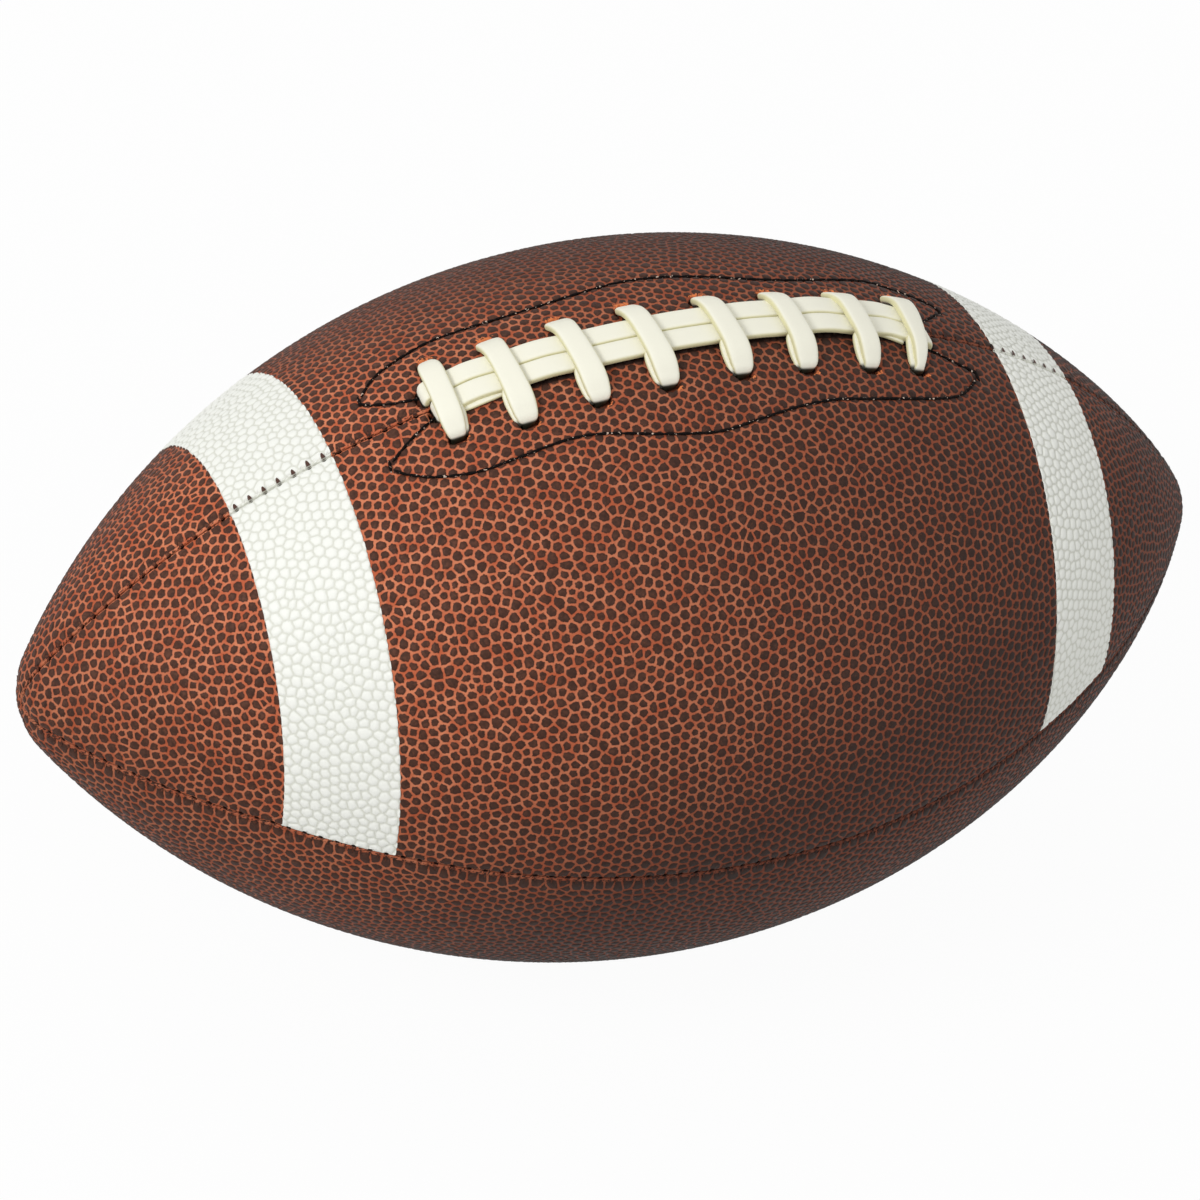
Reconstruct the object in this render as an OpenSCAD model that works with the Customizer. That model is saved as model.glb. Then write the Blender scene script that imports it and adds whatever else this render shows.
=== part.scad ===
// American football: four pebbled leather panels sewn inside out round a
// rubber bladder, closed by one flat lace.
// +X runs along the ball, +Z points up through the lacing, the ball lies on Z = 0.

/* [Ball] */
// Length from nose to nose
ball_len = 290; // [270:1:300]
// Diameter at mid-length
ball_d = 166; // [156:1:176]
// Radius of the rounded nose
nose_r = 18.5; // [15:0.5:24]

/* [Cover] */
// Thickness of the leather
cover_t = 2.2; // [1.8:0.1:2.6]
// Depth of the turned-in seam edge, from the outer skin
lip_depth = 5.9; // [5.6:0.1:7]
// Depth of the groove that two rolled leather edges leave at a seam
groove_depth = 1.4; // [0.6:0.1:1.8]
// Width of one rolled leather edge beside a seam
shoulder_w = 1.6; // [0.8:0.1:2]
// Hairline between two sewn edges
seam_gap = 0.1; // [0.05:0.05:0.4]
// Thickness of the layered lining
lining_t = 1.4; // [1:0.1:1.6]
// Glue line between two plies
ply_gap = 0.1; // [0.05:0.05:0.2]

/* [Stripes] */
// Width of a white stripe along the skin
stripe_w = 25.4; // [15:0.1:35]
// From the stitched outline to the stripe, along the skin
stripe_clear = 10.3; // [6:0.1:14]
// Thickness of the white coat
stripe_t = 0.25; // [0.1:0.05:0.5]

/* [Lacing] */
// Number of crossings
crossings = 8; // [6:1:9]
// Spacing of the crossings along the skin
cross_pitch = 16.1; // [14:0.1:17]
// From the seam to a row of lace holes, over the skin
hole_g = 12.4; // [11.5:0.1:16]
// Radius of a punched lace hole
hole_r = 2.7; // [2.6:0.05:3]
// Width of the lace
lace_w = 5.5; // [4.4:0.1:6]
// Thickness of the lace
lace_t = 1.8; // [1.4:0.1:2]
// Width of the lace where a hole squeezes it
neck_w = 4.1; // [3.4:0.1:4.3]
// Thickness of the lace pressed flat on the inside
under_t = 1.4; // [1:0.1:1.5]
// Opening of the unsewn slit under the lace
slit_w = 1; // [0.4:0.1:1.6]
// Clearance round the lace
lace_gap = 0.1; // [0.05:0.05:0.2]

/* [Facings] */
// How far the stitched outline reaches past the slit
outline_past = 10; // [6:0.05:14]
// Width of the near stitched outline, from the seam
outline_near = 25; // [21:0.5:30]
// Width of the far stitched outline, from the seam
outline_far = 23; // [21:0.5:30]
// How far the facing reaches past its stitches
facing_margin = 2.5; // [1.5:0.5:5]
// Thickness of the shield strip behind the slit
tongue_t = 0.6; // [0.4:0.1:0.6]
// Half width of the shield strip
tongue_half_w = 17; // [14:0.5:22]

/* [Thread] */
// Stitch pitch along the seams
seam_pitch = 3.75; // [3:0.25:6]
// Stitch pitch round the facings
facing_pitch = 3; // [2.5:0.25:5]
// Share of the pitch that the thread lies on top
stitch_share = 0.76; // [0.5:0.02:0.9]
// Diameter of the seam thread
seam_thread_d = 0.9; // [0.5:0.1:1]
// Diameter of the facing thread
facing_thread_d = 0.7; // [0.4:0.1:0.9]

/* [Bladder and valve] */
// Thickness of the bladder wall
bladder_t = 0.8; // [0.5:0.1:1.2]
// Turn of the valve round the ball, from the lacing
valve_turn = 135; // [110:1:160]
// Bore that takes the inflating needle
needle_d = 2; // [1.6:0.1:2.4]
// Diameter of the valve plug
plug_d = 5.8; // [5:0.1:6.4]
// Diameter of the plug's head
plug_head_d = 7.2; // [6.8:0.1:7.6]
// Thickness of the plug's head
plug_head_t = 1.2; // [0.8:0.1:1.8]
// Length of the valve plug
plug_len = 15; // [12:0.5:18]
// Diameter of the valve boss
boss_d = 9.6; // [9:0.1:11]
// Length of the valve boss
boss_len = 19; // [18.5:0.5:24]
// Diameter of the flange that joins the valve to the bladder
flange_d = 24; // [18:0.5:30]
// Clearance round the valve's pieces
valve_gap = 0.1; // [0.05:0.05:0.15]

/* [Hidden] */
$fn = 96;
// Overrun of every cut
cut_over = 1;
half_len = ball_len / 2;
half_d = ball_d / 2;
// The belly is one arc, tangent to the nose arc, with its centre beyond the axis
belly_r = (pow(half_len - nose_r, 2) + pow(half_d, 2) - pow(nose_r, 2)) / (2 * (half_d - nose_r));
drop = belly_r - half_d;
turn = asin((half_len - nose_r) / (belly_r - nose_r));
rad = 180 / PI;
belly_arc = belly_r * turn / rad;
skin_arc = belly_arc + nose_r * (90 - turn) / rad;

// Depths of the plies, from the outer skin
lining_top = cover_t + ply_gap;
lining_low = lining_top + lining_t;
under_h = -(lining_low + lace_gap + under_t / 2);
tongue_top = lining_low + under_t + 2 * lace_gap;
tongue_low = tongue_top + tongue_t;
bladder_top = max(lip_depth, tongue_low) + 2 * ply_gap;
bladder_low = bladder_top + bladder_t;

// Lacing
stripe_gap = 0.05;
run_h = lace_gap + lace_t / 2;
cross_h = run_h + lace_t + 2 * lace_gap;
run_gap = 2 * lace_gap;
run_g = (lace_w + run_gap) / 2;
last_s = (crossings - 1) / 2 * cross_pitch;
notch_s = last_s + lace_w / 2 + lace_gap;
slit_s = notch_s + hole_r + lace_gap;
tail_len = 4.5;
lace_sides = 10;

// Room that the seam thread takes beside a lip
thread_room = seam_thread_d + 2 * ply_gap;
lining_edge = cover_t + thread_room;

// Half the length of the stitched outline
outline_half = slit_s + outline_past;
// Stitched outline, as shares of its half length and its width, from one end to the other
outline_half_shares = [
    [0.89, 0.24], [1, 0.4], [0.96, 0.58], [0.88, 0.72], [0.75, 0.8],
    [0.6, 0.82], [0.45, 0.79], [0.3, 0.84], [0.15, 0.95], [0, 1]
];
outline_shares = concat(
    [for (p = outline_half_shares) [-p.x, p.y]],
    [for (i = [len(outline_half_shares) - 2:-1:0]) outline_half_shares[i]]
);

leather = "#5b3326";
coat = "#eef0eb";
cord_colour = "#ecebd8";
black = "#1c1a19";

// Lean of the skin's normal at arc length s from mid-length
function lean(s) = abs(s) <= belly_arc ? s / belly_r * rad
    : sign(s) * (turn + (abs(s) - belly_arc) / nose_r * rad);
// Place along the axis and distance from it, at arc length s and height h over the skin
function skin_x(s, h) = abs(s) <= belly_arc ? (belly_r + h) * sin(lean(s))
    : sign(s) * (half_len - nose_r) + (nose_r + h) * sin(lean(s));
function skin_r(s, h) = abs(s) <= belly_arc ? (belly_r + h) * cos(lean(s)) - drop
    : (nose_r + h) * cos(lean(s));
// Turn round the axis that puts a point g away from the top seam, over the skin
function skin_turn(s, g) = g / skin_r(s, 0) * rad;
// Point on the ball, from its centre
function on_ball(s, g, h) = let (f = skin_turn(s, g), r = skin_r(s, h)) [skin_x(s, h), r * sin(f), r * cos(f)];
// Directions along the ball and round it
function along(s, g) = let (f = skin_turn(s, g), w = lean(s)) [cos(w), -sin(w) * sin(f), -sin(w) * cos(f)];
function around(s, g) = let (f = skin_turn(s, g)) [0, cos(f), -sin(f)];
function unit(v) = v / norm(v);

// Puts its children on the skin: +Z outward, +X along the ball
module on_skin(s, f, h = 0) {
    rotate([-f, 0, 0]) translate([skin_x(s, h), 0, skin_r(s, h)]) rotate([0, lean(s), 0]) children();
}

// Sides of the ball: the model is made on +Y and up, and mirrored to the others
module on_side(near = false, base = false) {
    translate([0, 0, half_d]) mirror([0, near ? 1 : 0, 0]) mirror([0, 0, base ? 1 : 0]) children();
}

// Profile of the ball grown by h, as a half section
module profile(h) {
    joint_z = (belly_r + h) * sin(turn);
    intersection() {
        translate([-drop, 0]) circle(belly_r + h);
        translate([0, -joint_z]) square([half_d + h + cut_over, 2 * joint_z]);
    }
    for (end = [0, 1]) mirror([0, end]) intersection() {
        translate([0, half_len - nose_r]) circle(nose_r + h);
        translate([0, joint_z]) square([nose_r + h + cut_over, nose_r]);
    }
}

// Layer of the ball between two heights over the skin
module layer(high, low) {
    difference() {
        profile(high);
        profile(low);
    }
}

// The same layer all round the ball
module whole(high, low) {
    rotate([0, 90, 0]) rotate_extrude() layer(high, low);
}

// Quarter of a layer, between +Y and +Z
module quarter(high, low) {
    rotate([0, 90, 0]) rotate([0, 0, 90]) rotate_extrude(angle = 90) layer(high, low);
}

// Rolled edge of a panel: shares of the groove's depth and of the shoulder's width
roll_shares = [[1, 0], [0.45, 0.2], [0.14, 0.55], [0, 1]];

// Section that cuts both rolled edges of a seam, along an arc of the given radius
module roll_cut(reach) {
    edge = [for (p = roll_shares) [reach - p.x * groove_depth, p.y * shoulder_w + seam_gap / 2]];
    rim = reach + cut_over;
    slope_w = shoulder_w + seam_gap / 2 + cut_over;
    polygon(concat(
        edge,
        [[rim, slope_w], [rim, -slope_w]],
        [for (i = [len(edge) - 1:-1:0]) [edge[i].x, -edge[i].y]]
    ));
}

// Rolled edges along the top seam, from tip to tip
module seam_roll() {
    translate([0, 0, -drop]) rotate([90, 0, 0]) rotate([0, 0, 90 - turn]) {
        rotate_extrude(angle = 2 * turn) roll_cut(belly_r);
    }
    for (end = [0, 1]) mirror([end, 0, 0]) translate([half_len - nose_r, 0, 0]) rotate([90, 0, 0]) {
        rotate_extrude(angle = 90 - turn) roll_cut(nose_r);
    }
}

// Slice that keeps a panel half a hairline off its top seam
module seam_side() {
    translate([-half_len - cut_over, -cut_over, -cut_over]) {
        cube([ball_len + 2 * cut_over, cut_over + seam_gap / 2, half_d + 2 * cut_over]);
    }
}

// Box over the whole ball whose near faces stand off the two seam planes
module beyond(off_top, off_side) {
    translate([-half_len, off_top, off_side]) cube([ball_len, half_d, half_d]);
}

// Box over the slit's stretch of the top seam
module slit_box(half_s, width) {
    reach = skin_x(half_s, 0);
    translate([-reach, -width / 2, half_d / 2]) cube([2 * reach, width, half_d]);
}

// Punched holes of one lace panel, and the notch at each end of its slit
module lace_holes() {
    for (k = [0:crossings - 1]) {
        s = k * cross_pitch - last_s;
        on_skin(s, skin_turn(s, hole_g), -tongue_top) cylinder(r = hole_r, h = tongue_top + cut_over);
    }
    for (s = [-notch_s, notch_s]) {
        on_skin(s, skin_turn(s, run_g), -tongue_top) cylinder(r = hole_r, h = tongue_top + cut_over);
    }
    slit_box(slit_s, slit_w);
}

// Leather panel with its two turned-in edges
module leather_panel(lace_side) {
    difference() {
        quarter(0, -lip_depth);
        intersection() {
            quarter(-cover_t, -lip_depth - cut_over);
            union() {
                beyond(cover_t, cover_t);
                if (lace_side) slit_box(slit_s, 2 * cover_t + cut_over);
            }
        }
        seam_side();
        mirror([0, 1, -1]) seam_side();
        seam_roll();
        rotate([-90, 0, 0]) seam_roll();
        if (lace_side) lace_holes();
    }
}

// Drills the way of the valve through a base ply
module valve_way(d) {
    rotate([-(180 - valve_turn), 0, 0]) cylinder(d = d, h = half_d + cut_over);
}

module panel_lace(near) {
    color(leather) on_side(near) leather_panel(true);
}

module panel_base(near, drilled) {
    color(leather) on_side(near, true) difference() {
        leather_panel(false);
        if (drilled) valve_way(boss_d + 2 * valve_gap);
    }
}

// Stitched outline of a facing on the skin, grown by a margin
function outline(width, grow) = [
    for (p = outline_shares) [p.x * (outline_half + grow), p.y * (width + grow)]
];

// Same outline seen from above, closed along the seam
function outline_plan(width, grow) = let (edge = outline(width, grow), last = len(edge) - 1) concat(
    [[skin_x(edge[0].x, 0), 0]],
    [for (p = edge) let (q = on_ball(p.x, p.y, 0)) [q.x, q.y]],
    [[skin_x(edge[last].x, 0), 0]]
);

module outline_prism(width, grow) {
    linear_extrude(half_d) polygon(outline_plan(width, grow));
}

module lining_ply(width) {
    difference() {
        intersection() {
            quarter(-lining_top, -lining_low);
            beyond(lining_edge, lining_edge);
        }
        if (width > 0) outline_prism(width, facing_margin + 2 * ply_gap);
    }
}

module lining_lace(near) {
    color("#cfc8b6") on_side(near) lining_ply(near ? outline_near : outline_far);
}

module lining_base(near, drilled) {
    color("#cfc8b6") on_side(near, true) difference() {
        lining_ply(0);
        if (drilled) valve_way(boss_d + 2 * valve_gap);
    }
}

// Reinforcement under the lace holes, in the lining's layer
module facing(near) {
    color("#3a2a22") on_side(near) difference() {
        intersection() {
            quarter(-lining_top, -lining_low);
            outline_prism(near ? outline_near : outline_far, facing_margin);
        }
        lace_holes();
        for (end = [0, 1]) mirror([end, 0, 0]) {
            translate([skin_x(slit_s, 0) - ply_gap, 0, 0]) cube([half_len, lining_edge, half_d]);
        }
    }
}

// Shield strip between the lace and the bladder, with rounded ends
module lace_tongue() {
    end_x = skin_x(slit_s, 0) - ply_gap - tongue_half_w;
    color("#4a3a30") translate([0, 0, half_d]) intersection() {
        whole(-tongue_top, -tongue_low);
        linear_extrude(half_d) union() {
            square([2 * end_x, 2 * tongue_half_w], center = true);
            for (end = [-1, 1]) translate([end * end_x, 0]) circle(tongue_half_w);
        }
    }
}

// White stripe as a coat on one lace panel
module stripe(near, left) {
    inner_s = outline_half + stripe_clear;
    inner_x = skin_x(inner_s, 0);
    outer_x = skin_x(inner_s + stripe_w, 0);
    color(coat) on_side(near) mirror([left ? 1 : 0, 0, 0]) intersection() {
        quarter(stripe_gap + stripe_t, stripe_gap);
        translate([inner_x, shoulder_w, shoulder_w]) cube([outer_x - inner_x, half_d, half_d]);
    }
}

// Route of the lace. A stop is [s, g, h, turn of its width, width, thickness].
function hole_at(k, side) = [k * cross_pitch - last_s, side * hole_g];
function notch_at(end, side) = [end * notch_s, side * run_g];
function heading(from, to) = atan2(to.y - from.y, to.x - from.x);
function reversed(list) = [for (i = [len(list) - 1:-1:0]) list[i]];

// Stop on the inside, a distance ahead of a hole (way 1) or behind it (way -1)
function under_stop(hole, head, ahead, h) =
    [hole.x + ahead * cos(head), hole.y + ahead * sin(head), h, head + 90, (neck_w + lace_w) / 2, under_t];

// Stops from the skin down a hole to the inside; the width turns on the way
function passage(hole, head, way, top_turn) = [
    [hole.x, hole.y, -cover_t / 2, top_turn, neck_w, lace_t],
    [hole.x, hole.y, 0.8 * under_t - lining_low, top_turn * 0.3 + (head + 90) * 0.7, neck_w, under_t],
    under_stop(hole, head, way * hole_r / 3, under_h + 0.3 * under_t),
    under_stop(hole, head, way * hole_r, under_h)
];
function down(hole, head, top_turn) = passage(hole, head, 1, top_turn);
function up(hole, head, top_turn) = reversed(passage(hole, head, -1, top_turn));

// Stops between two holes on the inside, so that the lace follows the ball's curve
slant_steps = 4;
function slant_stops(from, to, head) = [
    for (i = [1:slant_steps - 1]) let (p = from + (to - from) * i / slant_steps)
        [p.x, p.y, under_h, head + 90, (neck_w + lace_w) / 2, under_t]
];

// Half a crossing, from its hole up to the seam; side is -1 or 1
cross_g_shares = [0.93, 0.78, 0.58, 0.36];
cross_h_shares = [0.11, 0.44, 0.8, 1];
function half_cross(s, side) = [
    for (i = [0:len(cross_g_shares) - 1])
        [s, side * hole_g * cross_g_shares[i], cross_h * cross_h_shares[i], 0,
            i == 0 ? (neck_w + lace_w) / 2 : lace_w, lace_t]
];

// Up through a near hole, over the seam, and down the far one
function crossing(k, head_in, head_out) = let (from = hole_at(k, -1), to = hole_at(k, 1)) concat(
    up(from, head_in, 0),
    half_cross(from.x, -1),
    [[from.x, 0, cross_h, 0, lace_w, lace_t]],
    reversed(half_cross(to.x, 1)),
    down(to, head_out, 0)
);

// Strand on top, along the slit from the right notch to the left one
run_steps = 2 * crossings;
run_end_s = notch_s - hole_r;
function run_dip(end, side) =
    [end * (notch_s - hole_r / 3), side * run_g, run_h * 0.45, 90, (neck_w + lace_w) / 2, lace_t];
function top_run(side) = concat(
    [run_dip(1, side)],
    [for (i = [0:run_steps]) [run_end_s * (1 - 2 * i / run_steps), side * run_g, run_h, 90, lace_w, lace_t]],
    [run_dip(-1, side)]
);

// Tucked end of the lace, lying along the inside
function tail_tip(end, side) = [end * (notch_s - tail_len), side * run_g, under_h, 90, neck_w, under_t];

// One unbroken lace: near strand, ladder of crossings, far strand
function lace_route() = let (
    rise = heading(notch_at(-1, -1), hole_at(0, -1)),
    slant = heading(hole_at(0, 1), hole_at(1, -1)),
    fall = heading(hole_at(crossings - 1, 1), notch_at(1, 1))
) concat(
    [tail_tip(1, -1)],
    up(notch_at(1, -1), 0, 90),
    top_run(-1),
    down(notch_at(-1, -1), rise, 90),
    [for (k = [0:crossings - 1]) each concat(
        k == 0 ? [] : slant_stops(hole_at(k - 1, 1), hole_at(k, -1), slant),
        crossing(k, k == 0 ? rise : slant, k == crossings - 1 ? fall : slant)
    )],
    up(notch_at(1, 1), fall, 90),
    top_run(1),
    down(notch_at(-1, 1), 0, 90),
    [tail_tip(-1, 1)]
);

// Flat section with rounded edges, one unit each way
lace_section = [
    for (i = [0:lace_sides - 1]) let (a = 360 * (i + 0.5) / lace_sides)
        [sign(cos(a)) * sqrt(abs(cos(a))), sign(sin(a)) * pow(abs(sin(a)), 0.7)]
];

function ring(p, ahead) = let (
    side_dir = along(p[0], p[1]) * cos(p[3]) + around(p[0], p[1]) * sin(p[3]),
    w = unit(side_dir - ahead * (ahead * side_dir)),
    u = cross(ahead, w),
    c = on_ball(p[0], p[1], p[2])
) [for (q = lace_section) c + w * (q.x * p[4] / 2) + u * (q.y * p[5] / 2)];

module lace() {
    route = lace_route();
    last = len(route) - 1;
    centre = [for (p = route) on_ball(p[0], p[1], p[2])];
    points = [for (i = [0:last]) each ring(route[i], unit(centre[min(i + 1, last)] - centre[max(i - 1, 0)]))];
    n = lace_sides;
    walls = [for (i = [0:last - 1], j = [0:n - 1])
        let (a = i * n + j, b = i * n + (j + 1) % n)
        each [[a, a + n, b + n], [a, b + n, b]]];
    caps = [for (j = [1:n - 2]) each [[0, j, j + 1], [last * n, last * n + j + 1, last * n + j]]];
    color(cord_colour) translate([0, 0, half_d]) polyhedron(points = points, faces = concat(walls, caps));
}

// One stitch lying along +X
module stitch(pitch, d) {
    rotate([0, 90, 0]) cylinder(d = d, h = pitch * stitch_share, center = true, $fn = 24);
}

// Place and direction at a distance along a line of points
function run_length(line, i) = i == 0 ? 0 : run_length(line, i - 1) + norm(line[i] - line[i - 1]);
function leg_at(line, sums, d, i = 0) = i >= len(line) - 2 || d <= sums[i + 1] ? i : leg_at(line, sums, d, i + 1);

// Lockstitches round a facing, lying on the leather
module facing_stitches(near) {
    line = outline(near ? outline_near : outline_far, 0);
    sums = [for (i = [0:len(line) - 1]) run_length(line, i)];
    count = floor(sums[len(line) - 1] / facing_pitch);
    color(black) on_side(near) for (k = [0:count - 1]) {
        d = (k + 0.5) * facing_pitch;
        i = leg_at(line, sums, d);
        p = line[i] + unit(line[i + 1] - line[i]) * (d - sums[i]);
        on_skin(p.x, skin_turn(p.x, p.y), facing_thread_d / 2 + stripe_gap) {
            rotate([0, 0, heading(line[i], line[i + 1])]) stitch(facing_pitch, facing_thread_d);
        }
    }
}

// Lockstitches of one seam, a row on each inner face of its two lips
seam_reach = skin_arc - nose_r * 0.65;
module seam_thread(seam_turn, gap_s) {
    count = floor(seam_reach / seam_pitch);
    depth = cover_t + seam_thread_d / 2 + (lip_depth - cover_t - seam_thread_d) * 0.3;
    color("#c8854e") translate([0, 0, half_d]) for (k = [-count:count], side = [-1, 1]) {
        s = k * seam_pitch;
        if (abs(s) >= gap_s) on_skin(s, seam_turn, -depth) {
            translate([0, side * (cover_t + seam_thread_d / 2 + stripe_gap), 0]) stitch(seam_pitch, seam_thread_d);
        }
    }
}

// Local frame of the valve: +Z outward, from the ball's centre
module on_valve() {
    translate([0, 0, half_d]) rotate([-valve_turn, 0, 0]) children();
}

module bladder() {
    color("#30353a") difference() {
        translate([0, 0, half_d]) whole(-bladder_top, -bladder_low);
        on_valve() cylinder(d = boss_d + 2 * valve_gap, h = half_d);
    }
}

// Moulded valve body: a curved flange on the bladder and a boss through the cover
module valve_housing() {
    flange_low = bladder_top - ply_gap;
    flange_top = lining_low + ply_gap;
    color("#23262a") difference() {
        union() {
            translate([0, 0, half_d]) intersection() {
                whole(-flange_top, -flange_low);
                rotate([-valve_turn, 0, 0]) cylinder(d = flange_d, h = half_d);
            }
            on_valve() translate([0, 0, half_d - ply_gap - boss_len]) cylinder(d = boss_d, h = boss_len);
        }
        on_valve() translate([0, 0, half_d / 2]) cylinder(d = plug_d + 2 * valve_gap, h = half_d);
        on_valve() translate([0, 0, half_d - ply_gap - plug_head_t - valve_gap]) {
            cylinder(d = plug_head_d + 2 * valve_gap, h = plug_head_t + cut_over);
        }
    }
}

// Self-sealing plug with the needle's bore
module valve_insert() {
    color("#3d4045") on_valve() translate([0, 0, half_d - ply_gap - plug_len]) difference() {
        union() {
            cylinder(d = plug_d, h = plug_len);
            translate([0, 0, plug_len - plug_head_t]) cylinder(d = plug_head_d, h = plug_head_t);
        }
        translate([0, 0, -cut_over]) cylinder(d = needle_d, h = plug_len + 2 * cut_over);
    }
}

panel_lace(true);  // panel_lace_near
panel_lace(false);  // panel_lace_far
panel_base(true, false);  // panel_base_near
panel_base(false, true);  // panel_base_far
lining_lace(true);  // lining_lace_near
lining_lace(false);  // lining_lace_far
lining_base(true, false);  // lining_base_near
lining_base(false, true);  // lining_base_far
facing(true);  // facing_near
facing(false);  // facing_far
lace_tongue();
lace();
stripe(true, true);  // stripe_near_left
stripe(true, false);  // stripe_near_right
stripe(false, true);  // stripe_far_left
stripe(false, false);  // stripe_far_right
facing_stitches(true);  // facing_stitch_near
facing_stitches(false);  // facing_stitch_far
seam_thread(0, slit_s + seam_pitch);  // seam_thread_top
seam_thread(180, 0);  // seam_thread_bottom
seam_thread(-90, 0);  // seam_thread_near
seam_thread(90, 0);  // seam_thread_far
bladder();
valve_housing();
valve_insert();
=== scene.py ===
"""Looks of an american football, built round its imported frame.

Four pebbled leather panels, two white stripes over the lace panels, sewn seams, the black lockstitched outline
round the lacing, and one flat lace. What lies inside keeps its solids and gets its finish here.
Lengths are metres. On the skin, s runs along the ball from mid-length and v turns away from the lacing's seam.
"""

import logging
import math
from dataclasses import dataclass
from enum import Enum
from functools import cached_property
from typing import Callable, ClassVar

import bmesh
import bpy
import numpy as np
from mathutils import Matrix, Vector
from mathutils.geometry import delaunay_2d_cdt


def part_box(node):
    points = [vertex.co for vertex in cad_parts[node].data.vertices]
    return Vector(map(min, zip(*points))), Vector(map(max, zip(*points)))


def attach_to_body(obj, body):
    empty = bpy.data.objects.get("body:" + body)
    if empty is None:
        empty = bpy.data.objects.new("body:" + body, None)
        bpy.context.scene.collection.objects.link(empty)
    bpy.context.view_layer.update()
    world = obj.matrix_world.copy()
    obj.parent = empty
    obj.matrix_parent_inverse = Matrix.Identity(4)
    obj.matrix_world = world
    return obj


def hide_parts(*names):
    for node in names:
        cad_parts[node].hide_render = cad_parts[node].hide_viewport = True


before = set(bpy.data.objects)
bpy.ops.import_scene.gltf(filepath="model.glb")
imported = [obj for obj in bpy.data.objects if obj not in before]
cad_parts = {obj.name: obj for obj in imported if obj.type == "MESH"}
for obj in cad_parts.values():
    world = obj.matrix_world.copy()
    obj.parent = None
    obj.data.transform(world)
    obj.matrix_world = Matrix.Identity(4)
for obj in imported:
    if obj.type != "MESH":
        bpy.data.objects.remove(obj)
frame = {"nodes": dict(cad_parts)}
LOG = logging.getLogger("football")
MM = 0.001
QUARTER = math.pi / 2
BODY = "root"
BLADDER_DEPTH = 6.1 * MM
Colour = tuple[int, int, int]
Ramp = tuple[float, float, float, float]
Stop = list[float]


class Pair(Enum):
    """Base of a choice between two: -1 is the first, 1 the second."""

    def pick(self, first: object, second: object) -> object:
        """Gives the value that belongs to this choice."""
        return first if self.value < 0 else second


class Side(Pair):
    """Side of the ball that a piece is on: near is towards -Y."""

    NEAR = -1
    FAR = 1


class End(Pair):
    """End of the ball that a piece is at: left is towards -X."""

    LEFT = -1
    RIGHT = 1


class Half(Enum):
    """Half of the ball that a panel is on."""

    LACE = 1
    BASE = -1


class Edge(Enum):
    """Sewn edge of a panel: at the top or bottom seam, or at a side seam."""

    MIDDLE = 1
    SIDE = 0


def smooth(value: np.ndarray, low: float, high: float) -> np.ndarray:
    """Eases from 0 at low to 1 at high.

    Args:
        value: Numbers to ease.
        low: Value that gives 0.
        high: Value that gives 1.

    Returns:
        The eased numbers.
    """
    t = np.clip((value - low) / (high - low), 0, 1)
    return t * t * (3 - 2 * t)


def through(points: np.ndarray, steps: int) -> np.ndarray:
    """Adds points along the smooth curve through given ones.

    Args:
        points: Points in rows, of any width.
        steps: Number of steps from each point to the next.

    Returns:
        The denser rows, the given points among them.
    """
    p = np.vstack([2 * points[0] - points[1], points, 2 * points[-1] - points[-2]])
    t = (np.arange(steps) / steps)[:, None]
    a, b, c, d = p[:-3, None], p[1:-2, None], p[2:-1, None], p[3:, None]
    curve = b + 0.5 * t * (c - a + t * (2 * a - 5 * b + 4 * c - d + t * (3 * (b - c) + d - a)))
    return np.vstack([curve.reshape(-1, points.shape[1]), points[-1:]])


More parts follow.
